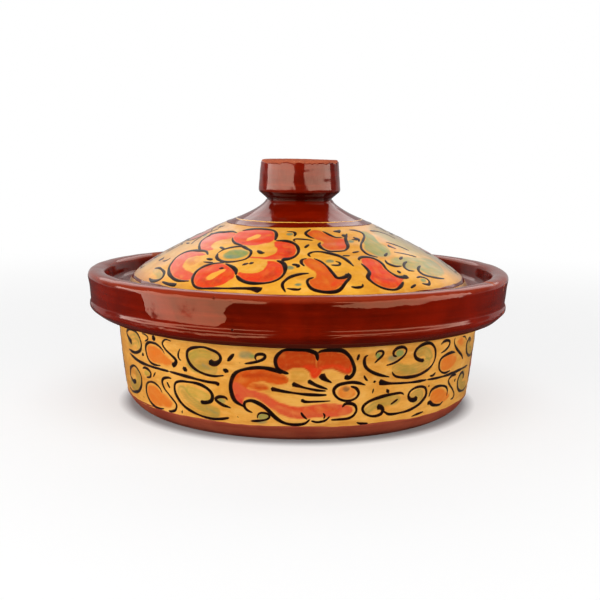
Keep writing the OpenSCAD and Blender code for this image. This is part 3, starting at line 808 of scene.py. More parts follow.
LID_LEAVES = [
    dab(BLUE_GREEN, -6, 8.6, 2.7, 1.8, load=0.7),
    line((-8, 5), (-3.5, 5.5), (-2.2, 8), (-3, 11.5), w=1.7),
    line((-2, 18), (-3.2, 16), (-1.5, 14.5), (4, 15), (9.5, 16.5)),
    line((6.8, 21.2), (4, 26)),
    dab(BLUE_GREEN, -5, 48.6, 2.9, 1.9, load=0.75),
    line((-4, 44.5), (0, 46), (-1, 48.5), w=1.8),
    line((7, 54), (1, 55), (-5, 58), (-9, 63), (-9.5, 67), (-7.5, 72), w=1.7),
    dab(BLUE_GREEN, 0, 65.2, 2.4, 1.5),
    line((-7, 68.5), (0, 69.5), (2, 68)),
    fill(ORANGE, (9, 3.6), (6.2, 6.6), (6.2, 9), (9, 12.4), (13, 15.8), (17, 19), (15.2, 22),
         (16.6, 25.8), (20.6, 28.8), (26, 29.3), (30.4, 28.3), (32.5, 25), (32, 20), (31.6, 14.8),
         (26, 14.2), (20, 10), (15, 5.4), (12, 3.2), load=0.96, soft=0.6, grain=50),
    fill(RED, (27, 15.6), (31, 16), (32, 24), (27, 28), (20, 27.6), (25, 22), load=0.5, soft=2, grain=50),
    fill(LIGHT_ORANGE, (9, 6), (14, 8), (19, 13), (20, 17), (14, 14), (9, 10), load=0.4, soft=2,
         grain=50),
    line((8, 2), (5, 6), (5, 9), (8, 12.5), (10.5, 14)),
    line((14.5, 18.5), (13.5, 22), (15.5, 26.5), (20, 30), (26, 30.5), (31, 29.5), (33.5, 25.5), (33, 20),
         (32.5, 15), (34, 9), w=1.7),
    line((16, 5), (20, 9), (25, 13), (30, 13.5)),
    line((23.5, 5.5), (29.5, 6), ends="tb"),
    line((29, 35.5), (34.5, 35.8), w=1.7),
    line((36, 32.5), (41.5, 31.5), w=1.7),
    dab(BLUE_GREEN, 36.6, 18.8, 2.7, 1.9, load=0.7),
    line((38.5, 14), (43, 17), (42.5, 20), w=1.7),
    fill(ORANGE, (6.4, 37.4), (10, 38.6), (14.6, 42.4), (18.6, 48.2), (21.4, 54), (24.4, 59.4), (29, 60),
         (31.6, 58.4), (29.4, 63), (26.4, 67.6), (22.4, 70.3), (16, 70.3), (9.8, 68), (7.2, 64),
         (7.4, 60.8), (11, 58.2), (11.4, 54), (8.8, 50.4), (5, 46.6), (3.2, 43), (3.4, 40), load=0.97,
         soft=0.6, grain=60),
    fill(RED, (24, 60.6), (30, 60.6), (27.4, 65.6), (23, 68), (20, 66), load=0.45, soft=2, grain=10),
    fill(LIGHT_ORANGE, (6, 40), (11, 41.6), (16, 48), (17, 54), (12, 50), (7, 45), load=0.45, soft=2.2,
         grain=60),
    line((36.5, 48), (32, 41), (27, 36), (20, 32.5), (14, 30.5), (9, 31), (6.5, 33.5), (8, 36.5), w=1.7),
    line((5.5, 38), (2.5, 39.5), (2, 43), (4, 47)),
    line((10, 38), (15, 42), (19, 48), (22, 54), (25, 59), (30.5, 58), (32.5, 55), ends="tb"),
    line((10, 58), (6.5, 60), (6, 64), (9, 69), (16, 71.5), (23, 71.5), (27, 69), (30, 64), (33.5, 58),
         (32, 54), w=1.9),
    dab(BLUE_GREEN, 20.4, 41.6, 3, 1.8, load=0.75),
    line((21, 45.5), (26, 46), (27, 43.5), (24, 41.5)),
    line((33.5, 67.5), (37, 68.5), (41, 68), (41.5, 65.5), w=1.7),
]

LID_LEAF_FLOWER = [
    fill(RED, (-5, 42.4), (-2, 39.4), (2.6, 39.6), (6, 42.4), (8, 46.6), (8, 52), (9.6, 57.6), (13.4, 62),
         (17.4, 63), (14.4, 65.6), (10, 69), (4, 71), (-2.6, 69.4), (-7, 65.4), (-8.4, 60.4),
         (-4.8, 54.6), (-5.6, 46), load=0.97, soft=0.6, grain=80),
    fill(DEEP_RED, (-4, 57), (1, 61), (7, 61.6), (10, 64), (4, 65), (-3, 62), load=0.3, soft=2.2,
         grain=20),
    fill(ORANGE, (-6, 64), (0, 67), (8, 67), (5, 70.4), (-2, 69), load=0.5, soft=2, grain=20),
    line((-6, 42), (-5.5, 40), (-2, 38), (3, 38.5), (7, 41.5), (9, 46), (9, 52), (10.5, 57), (14, 61),
         (19, 62), (21.5, 60.5), w=1.9, ends="tb"),
    line((-6.5, 45), (-5.5, 54), (-9.5, 60), (-8, 66), (-3, 70.5), (4, 72.2), (10, 70), (15, 66), w=1.7),
    line((16.5, 55), (18, 58), w=1.8, ends="rr"),
    line((17.5, 72), (24, 69.5)),
    dab(SAGE, 33.5, 67, 3, 1.8),
    line((28.5, 64), (33, 63.5), (37.5, 65.5), (39, 68.5), (36, 71), (30, 69.5), w=1.7),
    line((2, 16.5), (6.5, 17), (5.5, 13.5)),
    line((-2.5, 13), (1, 10.5), w=2.3, ends="rr"),
    fill(SAGE, (12, 6.4), (20, 7.6), (25, 13), (23.6, 21), (27, 28), (25.6, 35), (20, 39.6), (13, 39.6),
         (8, 35), (5.6, 29), (9, 22), (14.6, 15.4), (16, 10.4), load=0.78, soft=1.5, grain=70),
    fill(SAGE, (20, 42.4), (30, 41), (42, 43), (56, 46), (70, 50), (74, 58), (66, 65), (54, 66),
         (44, 63.4), (37, 57), (28.6, 56.4), (22, 50.6), (16.4, 48.6), load=0.68, soft=2.4, grain=20),
    fill(OLIVE, (34, 10), (44, 14), (56, 24), (64, 36), (62, 46), (50, 42), (38, 30), load=0.55, soft=3),
    wash(PINK, 4.5, (26, 24), (31, 27), (35, 30), load=0.4),
    line((31, 23), (40, 28), (50, 36), w=1.1),
    line((27, 44), (33, 41.5), w=1.2),
    line((7, 4.5), (12, 5.5), (16, 9), (15.5, 13), (11, 18), (6, 23), (3, 29), (4, 35), (10, 39.5),
         w=1.5),
    line((14, 43), (13.5, 47), (18, 50.5), (24, 51), w=1.7),
    line((33, 47), (28, 49), (25.5, 52.5), (27, 56), (32, 57.5), w=1.7),
    line((44, 53), (39, 55), (36.5, 58), (38.5, 62), (45, 65), (53, 67.5), (60, 69), w=1.7),
    line((16, 39), (22, 35)),
    line((29, 27), (35, 32), w=1.2, ends="bt"),
    line((29, 35), (40, 39), (50, 44), w=1.3),
    line((27, 7.5), (36, 9), (46, 14), (52, 21), w=1.2),
]


# ---------------------------------------------------------------- laying the ornament

# The flowers at the sides stand 5 mm past the quarter.
QUARTER = math.pi / 2
SIDE = QUARTER + 5 / CHART_R
BAND_ROWS, FIELD_ROWS = 60, 92

band_rows = np.linspace(HEEL[1] - 0.6, CORNER_Z - 0.4, BAND_ROWS)
dish_paint = Painting(on_dish, lambda y: CHART_R + 0 * y, band_rows, strip_chart)
for marks in (LEFT_LEAVES, SIDE_SCROLLS_LEFT, LEFT_SCROLLS, BIG_FLOWER, RIGHT_SCROLLS, RIGHT_LEAVES,
              SIDE_SCROLLS_RIGHT):
    dish_paint.lay(marks)
for marks in (LEFT_LEAVES, LEFT_SCROLLS, BIG_FLOWER, RIGHT_SCROLLS, RIGHT_LEAVES):
    dish_paint.lay(marks, 2 * QUARTER, 1.5, 52)
dish_paint.lay(BIG_FLOWER, -SIDE, 1.6, 54)
dish_paint.lay(BIG_FLOWER, SIDE, 1.6, 56)
dish_paint.lay(LEFT_SCROLLS, -SIDE, 1.5, 58)
dish_paint.lay(RIGHT_SCROLLS, SIDE, 1.5, 60)
dish_band = dish_paint.band("dish_painted_wall")
dish_lines = dish_paint.lines("dish_brush_lines")

# Each motif on the lid, the angle of its line in degrees, and how far its strokes stray.
LID_LAYOUT = [
    (LID_SIDE, -30, 0), (LID_FLOWER, -30, 0), (LID_LEAVES, 0, 0), (LID_LEAF_FLOWER, 30, 0),
    (LID_LEAVES, 84, 1.4), (LID_FLOWER, 150, 1.5), (LID_LEAVES, 180, 1.6), (LID_LEAF_FLOWER, 210, 1.5),
    (LID_LEAVES, 259, 1.4),
]
# A khaki wash on the right flank of the lid's front only: partly the olive wash there, partly painted shade
# on that flank.
FLANK_WASH_AND_SHADE = fill(KHAKI, (28, 4), (50, 3), (68, 7), (88, 16), (108, 36), (124, 60), (108, 70), (84, 68),
                  (74, 52), (60, 41), (44, 31), (33, 20), load=0.75, soft=5, grain=30)
field_rows = np.linspace(0, FIELD_END + 1, FIELD_ROWS)[::-1]
lid_paint = Painting(on_lid, cone_r, field_rows, top_chart, brush=1.2)
lid_paint.lay([FLANK_WASH_AND_SHADE], math.radians(30), seed=70)
for number, (marks, degrees, stray) in enumerate(LID_LAYOUT):
    lid_paint.lay(marks, math.radians(degrees), stray, 70 + 2 * number)
lid_field = lid_paint.band("lid_painted_field")
lid_lines = lid_paint.lines("lid_brush_lines")


# ---------------------------------------------------------------- banded coats
# Where two coats meet, the upper one lies a little proud with a hand-drawn edge.

def band_edge(theta, size, seed):
    slow, fast = ripple(theta * 2.2, 0 * theta, seed), ripple(theta * 9, 0 * theta, seed + 1)
    return size * slow + 0.4 * size * fast


def ring_coat(name, surface, low, high, columns, rows, proud, wander, seed):
    """A coat that stands proud of a painted surface, between two edges that wander a little."""
    theta = round_the_pot(columns)
    share = np.linspace(0, 1, rows)[:, None]
    start = low + band_edge(theta, wander, seed)
    end = high + band_edge(theta, wander, seed + 7)
    place = start + (end - start) * share
    lift = np.where((share == 0) | (share == 1), -0.05, proud) + 0 * place
    spots = surface(np.broadcast_to(theta, place.shape), place, lift)

    def uv(row, column):
        return np.stack([column / columns, row / (rows - 1)], -1)

    return round_mesh(name, spots, uv)


lid_line = ring_coat("lid_edge_line_coat", on_lid, LINE_END, FIELD_END, 720, 8, 0.12, 0.35, 5)
lip_path = np.vstack([edge_path[:-1], cone[cone_s > LINE_END - 1][::-1]])
lid_lip = turned("lid_edge_lip_coat", spaced(lip_path, 0.8), 480, lid_uneven)
neck_coat = turned("lid_neck_glaze_coat", neck_full, 480, neck_uneven)
neck_line = ring_coat("lid_neck_line_coat", on_neck, 6.9, 8.2, 480, 5, 0.12, 0.25, 9)
neck_edge = ring_coat("lid_neck_glaze_edge", on_neck, -0.8, 1.4, 480, 5, 0.1, 0.5, 19)

# The knob's glaze ends below its bare rim in a wavy edge that curls in.
KNOB_COLUMNS = 360
knob_full = softened(knob_path, 0.5, 2)
knob_theta = round_the_pot(KNOB_COLUMNS)[None, :]
top_wave = 0.9 * ripple(knob_theta * 2.1, 0, 41) + 0.35 * ripple(knob_theta * 8, 0, 42)
knob_share = smooth_step(knob_full[:, 1:], 164, 170.8)
knob_radius = knob_full[:, :1] + normals(knob_full)[:, :1] * knob_uneven(knob_theta, 0, knob_full[:, 1:])
knob_height = knob_full[:, 1:] + knob_share * (top_wave - 0.47)
curl = at_angle(knob_radius[-1:] - 0.75, knob_theta, knob_height[-1:] + 0.12)
knob_coat = round_mesh(
    "knob_glaze_coat", np.vstack([at_angle(knob_radius, knob_theta, knob_height), curl]),
    lambda row, column: np.stack([column / KNOB_COLUMNS, row / len(knob_full)], -1))


def knob_clay_uneven(theta, radius, height):
    return knob_uneven(theta, radius, height) * 0.8 - 0.15


def foot_uneven(theta, radius, height):
    return dish_uneven(theta, radius, height) * smooth_step(height, 0, 5)


def dome_uneven(theta, radius, height):
    away = smooth_step(height, EDGE_Z + 3, EDGE_Z + 9)
    return pan_uneven(theta, radius, 0 * height + 40) * 0.6 * away


knob_clay = turned("knob_clay", softened(knob_clay_path, 0.5, 3), 300, knob_clay_uneven, cap=True)
collar_coat = turned("dish_collar_glaze", softened(collar_path, 0.7, 2), 720, collar_uneven)
pan_coat = turned("dish_inner_glaze", softened(pan_path, 1.2, 2), 360, pan_uneven, cap=True)
foot_coat = turned("dish_foot_slip", softened(foot_path, 0.6, 1), 720, foot_uneven)
foot_edge = ring_coat("dish_foot_slip_edge", on_dish, 9.6, 11.1, 720, 5, 0.1, 0.35, 29)
dome_coat = turned("lid_inner_coat", softened(dome_path, 1.2, 1)[::-1], 360, dome_uneven, cap=True)


# ---------------------------------------------------------------- materials

class Look:
    """A material's node tree, with a short call for each kind of node it uses."""

    def __init__(self, name):
        self.material = bpy.data.materials.new(name)
        self.material.use_nodes = True
        self.tree = self.material.node_tree
        self.shader = self.tree.nodes["Principled BSDF"]
        self.here = self.add("ShaderNodeTexCoord").outputs["Object"]

    def set(self, socket, value):
        """Links a socket to another, or gives it a value of its own."""
        if isinstance(value, bpy.types.NodeSocket):
            self.tree.links.new(value, socket)
        elif socket.type == "RGBA":
            socket.default_value = (*value, 1)
        else:
            socket.default_value = value

    def add(self, kind, inputs=None, **settings):
        node = self.tree.nodes.new(kind)
        for key, value in settings.items():
            setattr(node, key, value)
        for key, value in (inputs or {}).items():
            self.set(node.inputs[key], value)
        return node

    def math(self, operation, a, b=0.0):
        return self.add("ShaderNodeMath", {0: a, 1: b}, operation=operation).outputs[0]

    def plus(self, a, b):
        return self.math("ADD", a, b)

    def times(self, a, b):
        return self.math("MULTIPLY", a, b)

    def vector(self, operation, a, b=(0, 0, 0)):
        return self.add("ShaderNodeVectorMath", {0: a, 1: b}, operation=operation).outputs[0]

    def length(self, a):
        return self.add("ShaderNodeVectorMath", {0: a}, operation="LENGTH").outputs["Value"]

    def xyz(self, a=None):
        return self.add("ShaderNodeSeparateXYZ", {0: a or self.here}).outputs

    def stretched(self, x, y, z):
        return self.vector("MULTIPLY", self.here, (x, y, z))

    def noise(self, scale, detail=4, where=None, rough=0.55, bent=0.0):
        inputs = {"Vector": where or self.here, "Scale": scale, "Detail": detail, "Roughness": rough,
                  "Distortion": bent}
        return self.add("ShaderNodeTexNoise", inputs).outputs[0]

    def spread(self, value, low, high, to_low=0.0, to_high=1.0, **settings):
        inputs = {0: value, 1: low, 2: high, 3: to_low, 4: to_high}
        return self.add("ShaderNodeMapRange", inputs, **settings).outputs[0]

    def steps(self, value, points):
        """A number that runs straight from each (value, number) point to the next."""
        total = points[0][1]
        for (low, here), (high, there) in zip(points, points[1:]):
            total = self.plus(total, self.spread(value, low, high, 0.0, there - here))
        return total

    def mix(self, share, a, b):
        return self.add("ShaderNodeMix", {0: share, 6: a, 7: b}, data_type="RGBA").outputs[2]

    def specks(self, scale, size):
        """1 in small round spots, 0 elsewhere."""
        cells = self.add("ShaderNodeTexVoronoi", {"Vector": self.here, "Scale": scale})
        return self.spread(cells.outputs["Distance"], size, size * 0.55)

    def bump(self, height, distance, under=None):
        inputs = {"Height": height, "Distance": distance, "Strength": 1.0}
        if under is not None:
            inputs["Normal"] = under
        return self.add("ShaderNodeBump", inputs).outputs[0]

    def finish(self, **sockets):
        for key, value in sockets.items():
            self.set(self.shader.inputs[key.replace("_", " ")], value)
        return self.material


def brown_glaze(name, deep=srgb(90, 10, 0), full=srgb(128, 18, 0), thin=srgb(146, 38, 7), ridge=0.0001,
                wave=0.00045, collar=False, pooled_and_shaded=False, index=1.4, tint=(1.0, 0.48, 0.26)):
    """Glossy red-brown glaze: cloudy, thinner on the throwing rings, with ripples and pinholes.
    pooled_and_shaded darkens it in the groove under the knob, as pooled glaze and painted shade, and collar
    adds the collar's flats, a crest lighter from thinner glaze and a painted highlight, and a matt underside
    with painted shade."""
    look = Look(name)
    clouds = look.noise(26, 5, bent=0.6)
    rings = look.noise(9, 6, look.stretched(1, 1, 26), 0.6)
    colour = look.mix(look.spread(look.plus(clouds, look.times(rings, 0.6)), 0.62, 1.0), deep, full)
    tone_shift = look.spread(look.plus(rings, look.times(look.noise(150, 4), 0.45)), 0.82, 1.02, 0, 0.35)
    colour = look.mix(tone_shift, colour, thin)
    pinholes = look.times(look.specks(95, 0.09), look.spread(look.noise(34, 1), 0.56, 0.62))
    colour = look.mix(pinholes, colour, srgb(54, 10, 5))
    if pooled_and_shaded:
        # Painted shade in the groove under the knob, with the glaze pooled darker there.
        low = look.plus(look.xyz()[2], look.times(look.noise(60, 2), 0.0016))
        groove = look.times(look.spread(low, 0.1446, 0.1456), look.spread(low, 0.1522, 0.1504))
        colour = look.mix(look.times(groove, 0.85), colour, srgb(44, 4, 1))
    gloss = look.spread(look.noise(60, 4), 0.35, 0.7, 0.06, 0.17)
    if collar:
        height = look.xyz()[2]
        # The underside is matt, and its darker colour is painted shade under the collar.
        under = look.spread(height, 0.0675, 0.0662)
        colour = look.mix(under, colour, srgb(84, 12, 4))
        gloss = look.plus(gloss, look.times(under, 0.8))
        # The crest is lighter: thinner glaze there, and a painted highlight.
        crest = look.plus(height, look.times(look.noise(46, 3), 0.002))
        colour = look.mix(look.spread(crest, 0.0928, 0.0952, 0, 0.55), colour, srgb(164, 58, 30))
    waves = look.bump(look.noise(34, 2, bent=0.3), wave, collar_normal(look) if collar else None)
    ridges = look.bump(look.noise(8, 3, look.stretched(1, 1, 30)), ridge, waves)
    peel = look.bump(look.noise(420, 2), 0.00002, ridges)
    return look.finish(
        Base_Color=colour,
        Roughness=gloss,
        Normal=look.bump(look.spread(pinholes, 0, 1, 1, 0), 0.0003, peel),
        IOR=index,
        Specular_Tint=tint,
    )


# Flats in the glaze of the collar and of its bead, alike on opposite sides of the pot. They are a guess that
# gives the lamp's reflection the outline it has in the photo. Each has a lower and an upper edge, as (angle
# in radians, height in mm), read off the photo through the fitted camera.
COLLAR_FLATS = [
    ([(-0.87, 93), (-0.76, 92), (-0.705, 90.8), (-0.69, 79.5), (-0.65, 76.6), (-0.5, 76.2), (-0.33, 76),
      (-0.3, 79), (-0.292, 86.8), (-0.26, 90.6), (-0.17, 91), (-0.06, 92)],
     [(-0.87, 92.6), (-0.7, 93.4), (-0.53, 93.5), (-0.385, 93.1), (-0.17, 92.9), (-0.06, 91.6)]),
    ([(0.1, 91.3), (0.16, 89.9), (0.25, 88.5), (0.41, 88.7), (0.595, 90), (0.743, 91), (0.83, 93)],
     [(0.1, 90.9), (0.145, 91.6), (0.25, 92.2), (0.41, 93), (0.594, 93.6), (0.743, 93.5), (0.83, 92.5)]),
    ([(0.29, 85.8), (0.33, 85.1), (0.45, 85.4), (0.485, 86)],
     [(0.29, 85.4), (0.33, 85.8), (0.45, 86.1), (0.485, 85.7)]),
    ([(-0.9, 71.2), (-0.6, 70.2), (-0.2, 70.4), (0, 71.4), (0.9, 71.6)],
     [(-0.9, 72.8), (-0.5, 72.3), (0.9, 72.6)]),
]


def collar_normal(look):
    """The collar's normal, tipped up a little within the flats."""
    x, y, z = look.xyz()
    turn = look.math("ARCTANGENT", look.math("DIVIDE", x, look.times(y, -1.0)))
    turn = look.plus(turn, look.spread(look.noise(120, 3), 0.3, 0.7, -0.02, 0.02))
    height = look.plus(look.times(z, 1 / MM), look.spread(look.noise(90, 4), 0.3, 0.7, -0.7, 0.7))
    share = 0.0
    for lower, upper in COLLAR_FLATS:
        above = look.math("SUBTRACT", height, look.steps(turn, lower))
        below = look.math("SUBTRACT", look.steps(turn, upper), height)
        share = look.math("MAXIMUM", share, look.spread(look.math("MINIMUM", above, below), -0.3, 0.5))
    level = look.stretched(1, 1, 0)
    share = look.times(share, look.spread(look.length(level), 0.1445, 0.1455))
    share = look.times(share, look.spread(look.noise(70, 4), 0.3, 0.5, 0.84, 1.0))
    tipped = look.vector("ADD", look.vector("NORMALIZE", level), (0, 0, 0.185))
    true = look.add("ShaderNodeNewGeometry").outputs["Normal"]
    mixed = look.add("ShaderNodeMix", {0: share, 4: true, 5: tipped}, data_type="VECTOR").outputs[1]
    return look.vector("NORMALIZE", mixed)


def painted_slip(name, pale=srgb(244, 177, 54), full=srgb(232, 159, 38), deep=srgb(208, 126, 28),
                 sheen=0.9, veil=0.36):
    """Yellow slip under a thin clear glaze, with the painted pigment laid over it. sheen is the glaze's
    weight at a grazing view, and veil the slip's own."""
    look = Look(name)
    clouds = look.noise(30, 5, bent=0.5)
    brush = look.noise(14, 5, look.stretched(1, 1, 9), 0.6)
    colour = look.mix(look.spread(clouds, 0.35, 0.68), full, pale)
    colour = look.mix(look.spread(brush, 0.5, 0.72, 0, 0.7), colour, deep)
    mottle = look.noise(85, 5, look.stretched(1, 1, 2.2), 0.65)
    colour = look.mix(look.spread(mottle, 0.5, 0.72, 0, 0.45), colour, deep)
    colour = look.mix(look.spread(mottle, 0.48, 0.3, 0, 0.5), colour, srgb(250, 196, 104))
    pigment = look.add("ShaderNodeVertexColor", layer_name="pigment").outputs
    streaks = look.spread(look.noise(210, 5, bent=1.2), 0.3, 0.7, 0.88, 1.08)
    cover = look.math("MINIMUM", look.times(pigment["Alpha"], streaks), 1.0)
    ground = look.vector("MULTIPLY", colour, look.math("SUBTRACT", 1.0, cover))
    colour = look.vector("ADD", ground, look.vector("MULTIPLY", pigment["Color"], streaks))
    specks = look.times(look.specks(240, 0.10), look.spread(look.noise(60, 1), 0.55, 0.62))
    waves = look.bump(look.noise(40, 3, bent=0.3), 0.0003)
    facing = look.add("ShaderNodeLayerWeight", {0: 0.5}).outputs["Facing"]
    return look.finish(
        Base_Color=look.mix(look.times(specks, 0.5), colour, srgb(120, 60, 26)),
        Roughness=look.spread(look.noise(70, 4), 0.3, 0.7, 0.28, 0.42),
        Normal=look.bump(look.noise(500, 2), 0.000015, waves),
        IOR=1.37,
        Specular_Tint=(1.0, 0.75, 0.5),
        Coat_Weight=look.spread(facing, 0.64, 0.9, sheen * 0.03, sheen),
        Coat_Roughness=0.2,
        Coat_IOR=1.6,
        Sheen_Weight=veil,
        Sheen_Roughness=0.3,
    )


def brush_paint(name):
    """Black slip of the brush lines, browner where it is thin."""
    look = Look(name)
    load = look.add("ShaderNodeAttribute", attribute_name="load").outputs["Fac"]
    share = look.plus(load, look.spread(look.noise(160, 4), 0.3, 0.7, -0.25, 0.2))
    return look.finish(
        Base_Color=look.mix(look.spread(share, 0.35, 0.85), srgb(74, 24, 8), srgb(14, 3, 2)),
        Roughness=look.spread(look.noise(90, 3), 0.3, 0.7, 0.32, 0.5),
        Normal=look.bump(look.noise(400, 2), 0.00002),
        IOR=1.3,
        Specular_Tint=(1.0, 0.7, 0.5),
        Sheen_Weight=0.4,
        Sheen_Roughness=0.3,
    )


def foot_slip(name):
    """Reddish slip on the foot band, more matt than the glaze, and darker towards the foot."""
    look = Look(name)
    clouds = look.noise(40, 5, bent=0.4)
    rings = look.noise(12, 4, look.stretched(1, 1, 20))
    colour = look.mix(look.spread(clouds, 0.35, 0.7), srgb(150, 60, 40), srgb(174, 84, 56))
    colour = look.mix(look.spread(rings, 0.5, 0.75, 0, 0.5), colour, srgb(108, 32, 18))
    # The slip is darker towards the foot.
    tone_shift = look.spread(look.plus(look.xyz()[2], look.times(look.noise(90, 3), 0.004)), 0.0058, 0.0022)
    return look.finish(
        Base_Color=look.mix(look.times(tone_shift, 0.7), colour, srgb(84, 36, 26)),
        Roughness=look.spread(clouds, 0.3, 0.7, 0.42, 0.6),
        Normal=look.bump(look.noise(220, 4), 0.00006),
        IOR=1.38,
        Specular_Tint=(1.0, 0.6, 0.45),
    )


def bare_clay(name):
    """Unglazed red earthenware: grainy, with turning lines and small grog."""
    look = Look(name)
    grain = look.noise(700, 3)
    clouds = look.noise(45, 5, bent=0.4)
    colour = look.mix(look.spread(clouds, 0.35, 0.7), srgb(166, 74, 42), srgb(186, 94, 58))
    colour = look.mix(look.spread(grain, 0.5, 0.75, 0, 0.55), colour, srgb(128, 52, 30))
    colour = look.mix(look.times(look.specks(420, 0.16), 0.5), colour, srgb(226, 160, 120))
    out = look.times(look.length(look.stretched(1, 1, 0)), 900)
    inputs = {"W": out, "Scale": 1.0, "Detail": 3}
    turning = look.add("ShaderNodeTexNoise", inputs, noise_dimensions="1D").outputs[0]
    lines = look.bump(turning, 0.00012)
    return look.finish(Base_Color=colour, Roughness=0.86, Normal=look.bump(grain, 0.00012, lines))


brown = brown_glaze("red_brown_glaze")
collar_brown = brown_glaze("red_brown_glaze_collar", ridge=0.000006, wave=0.0002, collar=True)
knob_brown = brown_glaze("red_brown_glaze_knob", ridge=0.00001, pooled_and_shaded=True, index=1.47,
                         tint=(1.0, 0.62, 0.44))
inner_brown = brown_glaze("inner_glaze", srgb(88, 20, 8), srgb(134, 40, 18), srgb(166, 82, 52))
yellow = painted_slip("yellow_slip_lid")
wall_yellow = painted_slip("yellow_slip_dish", srgb(250, 183, 86), srgb(234, 160, 60), srgb(202, 120, 34),
                           sheen=0.06, veil=0.1)
ink = brush_paint("black_brush_slip")
foot = foot_slip("foot_slip")
clay = bare_clay("bare_clay")

PIECES = [
    (dish_band, "dish", wall_yellow, "yellow_slip", ["dish_painted_band"]),
    (dish_lines, "dish", ink, "yellow_slip", []),
    (collar_coat, "dish", collar_brown, "brown_glaze", ["dish_glaze"]),
    (pan_coat, "dish", brown, "brown_glaze", []),
    (foot_coat, "dish", foot, "foot_slip", ["dish_foot_band"]),
    (foot_edge, "dish", foot, "foot_slip", []),
    (lid_field, "lid", yellow, "yellow_slip", ["lid_painted_band"]),
    (lid_lines, "lid", ink, "yellow_slip", []),
    (lid_lip, "lid", yellow, "yellow_slip", ["lid_edge_lip"]),
    (lid_line, "lid", brown, "brown_glaze", ["lid_edge_line"]),
    (neck_coat, "lid", knob_brown, "brown_glaze", ["lid_neck_glaze"]),
    (neck_edge, "lid", brown, "brown_glaze", []),
    (neck_line, "lid", yellow, "yellow_slip", ["lid_neck_line"]),
    (dome_coat, "lid", inner_brown, "inner_glaze", ["lid_inner_glaze"]),
    (knob_coat, "lid", knob_brown, "brown_glaze", ["knob_glaze"]),
    (knob_clay, "lid", clay, "clay", ["knob"]),
]
for piece, body, material, slot, nodes in PIECES:
    piece.data.materials.append(material)
    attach(piece, body)
    if nodes:
        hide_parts(*nodes)
for node in ("dish_body", "lid_body"):
    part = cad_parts[node]
    part.data.materials.clear()
    part.data.materials.append(clay)


# ---------------------------------------------------------------- stage, light and camera

def stage_material():
    """A pale floor that keeps shadows, and turns into a white backdrop away from the pot. Reflections
    see a darker floor, and its white farther off and behind the pot only."""
    look = Look("pale_floor")
    rays = look.add("ShaderNodeLightPath").outputs
    camera, glossy = rays["Is Camera Ray"], rays["Is Glossy Ray"]
    place = look.add("ShaderNodeNewGeometry").outputs["Position"]
    distance = look.length(place)
    # Near the foot the camera's lift fades out, a painted contact shadow over the floor's own shadow.
    lift = look.times(look.times(camera, 0.56), look.spread(distance, 0.120, 0.130, 0.1, 1.0))
    look.finish(
        Base_Color=look.mix(glossy, (0.4, 0.4, 0.4), (0.07, 0.07, 0.07)),
        Roughness=0.9,
        Specular_IOR_Level=0.1,
        Emission_Color=(1, 1, 1),
        Emission_Strength=lift,
    )
    shown = look.math("MAXIMUM", camera, look.times(glossy, 0.45))
    shown = look.math("MAXIMUM", shown, rays["Is Transmission Ray"])
    start = look.plus(look.times(glossy, 0.4), 0.3)
    away = look.spread(distance, start, 1.1, interpolation_type="SMOOTHSTEP")
    behind = look.math("MAXIMUM", look.spread(look.xyz(place)[1], -1.0, -0.3), camera)
    white = look.add("ShaderNodeEmission").outputs[0]
    share = look.times(shown, look.times(away, behind))
    mixed = look.add("ShaderNodeMixShader", {0: share, 1: look.shader.outputs[0], 2: white}).outputs[0]
    look.set(look.tree.nodes["Material Output"].inputs["Surface"], mixed)
    return look.material


def sweep_backdrop():
    """A floor that curves up into a backdrop behind the pot."""
    reach, foot, top = 4000, (1600, 0), (2800, 1200)
    profile = np.vstack([[(-reach, 0), foot], bend(foot, (2800, 0), top, 16), [(2800, reach)]])
    n = len(profile)
    places = [(x, y, z) for x in (-reach, reach) for y, z in profile]
    floor = new_thing("floor", np.array(places), [(i, i + n, i + n + 1, i + 1) for i in range(n - 1)])
    floor.data.materials.append(stage_material())


AIM_Z = 0.09


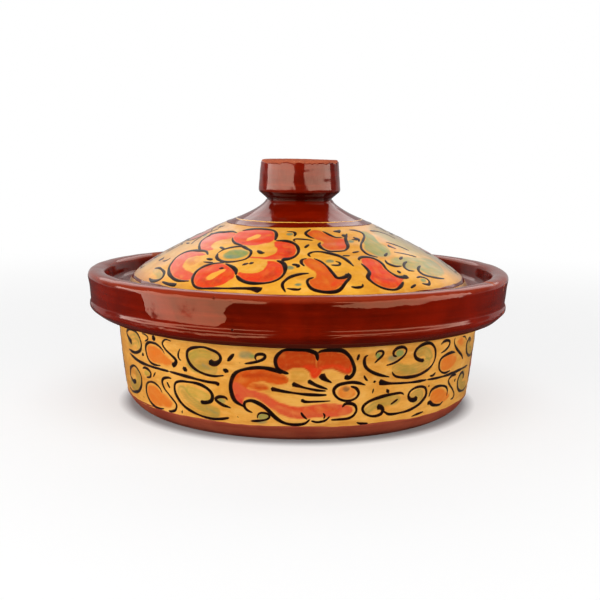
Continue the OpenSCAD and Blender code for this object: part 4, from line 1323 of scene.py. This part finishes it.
def soft_box(name, azimuth, elevation, distance, width, height, glow, in_gloss=True):
    """A rectangular lamp facing the pot. azimuth 0 is in front of it, growing towards +X. glow is its
    brightness, where a white surface in plain light has 1."""
    lamp = bpy.data.lights.new(name, "AREA")
    lamp.shape = "RECTANGLE"
    lamp.size, lamp.size_y = width, height
    lamp.energy = glow * math.pi * width * height
    thing = bpy.data.objects.new(name, lamp)
    a, e = math.radians(azimuth), math.radians(elevation)
    thing.location = (distance * math.cos(e) * math.sin(a),
                      -distance * math.cos(e) * math.cos(a),
                      AIM_Z + distance * math.sin(e))
    facing = Matrix.Rotation(a, 3, "Z") @ Matrix.Rotation(math.pi / 2 - e, 3, "X")
    thing.rotation_euler = facing.to_euler()
    thing.visible_camera, thing.visible_glossy = False, in_gloss
    bpy.context.scene.collection.objects.link(thing)


sweep_backdrop()
soft_box("soft_box_left", -60, 11, 1.0, 2.0, 0.26, 6.5)
soft_box("soft_box_right", 57, 11.5, 1.0, 1.68, 0.24, 5.7)
soft_box("soft_box_top", 10, 74, 1.5, 1.5, 1.3, 1.9, in_gloss=False)
soft_box("soft_box_back", 180, 36, 1.6, 3.0, 0.8, 1.35)

# The world is white for camera and transmission rays, and dim light for all others.
world = bpy.data.worlds.new("studio")
world.use_nodes = True
nodes, link = world.node_tree.nodes, world.node_tree.links.new
rays, shown = nodes.new("ShaderNodeLightPath").outputs, nodes.new("ShaderNodeMath")
shown.operation = "MAXIMUM"
link(rays["Is Camera Ray"], shown.inputs[0])
link(rays["Is Transmission Ray"], shown.inputs[1])
strength = nodes.new("ShaderNodeMapRange")
strength.inputs["To Min"].default_value = 0.14
link(shown.outputs[0], strength.inputs["Value"])
link(strength.outputs[0], nodes["Background"].inputs["Strength"])
nodes["Background"].inputs["Color"].default_value = (1, 1, 1, 1)
bpy.context.scene.world = world

CAMERA_PITCH, CAMERA_ROLL = 0.1508, 0.0127
camera = bpy.data.objects.new("camera", bpy.data.cameras.new("camera"))
camera.data.lens, camera.data.sensor_width = 61.68, 36
camera.matrix_world = (Matrix.Translation((0.001426, -0.740, 0.18387))
                       @ Matrix.Rotation(math.pi / 2 - CAMERA_PITCH, 4, "X")
                       @ Matrix.Rotation(CAMERA_ROLL, 4, "Z"))
bpy.context.scene.collection.objects.link(camera)
bpy.context.scene.camera = camera
bpy.context.scene.view_settings.view_transform = "Standard"
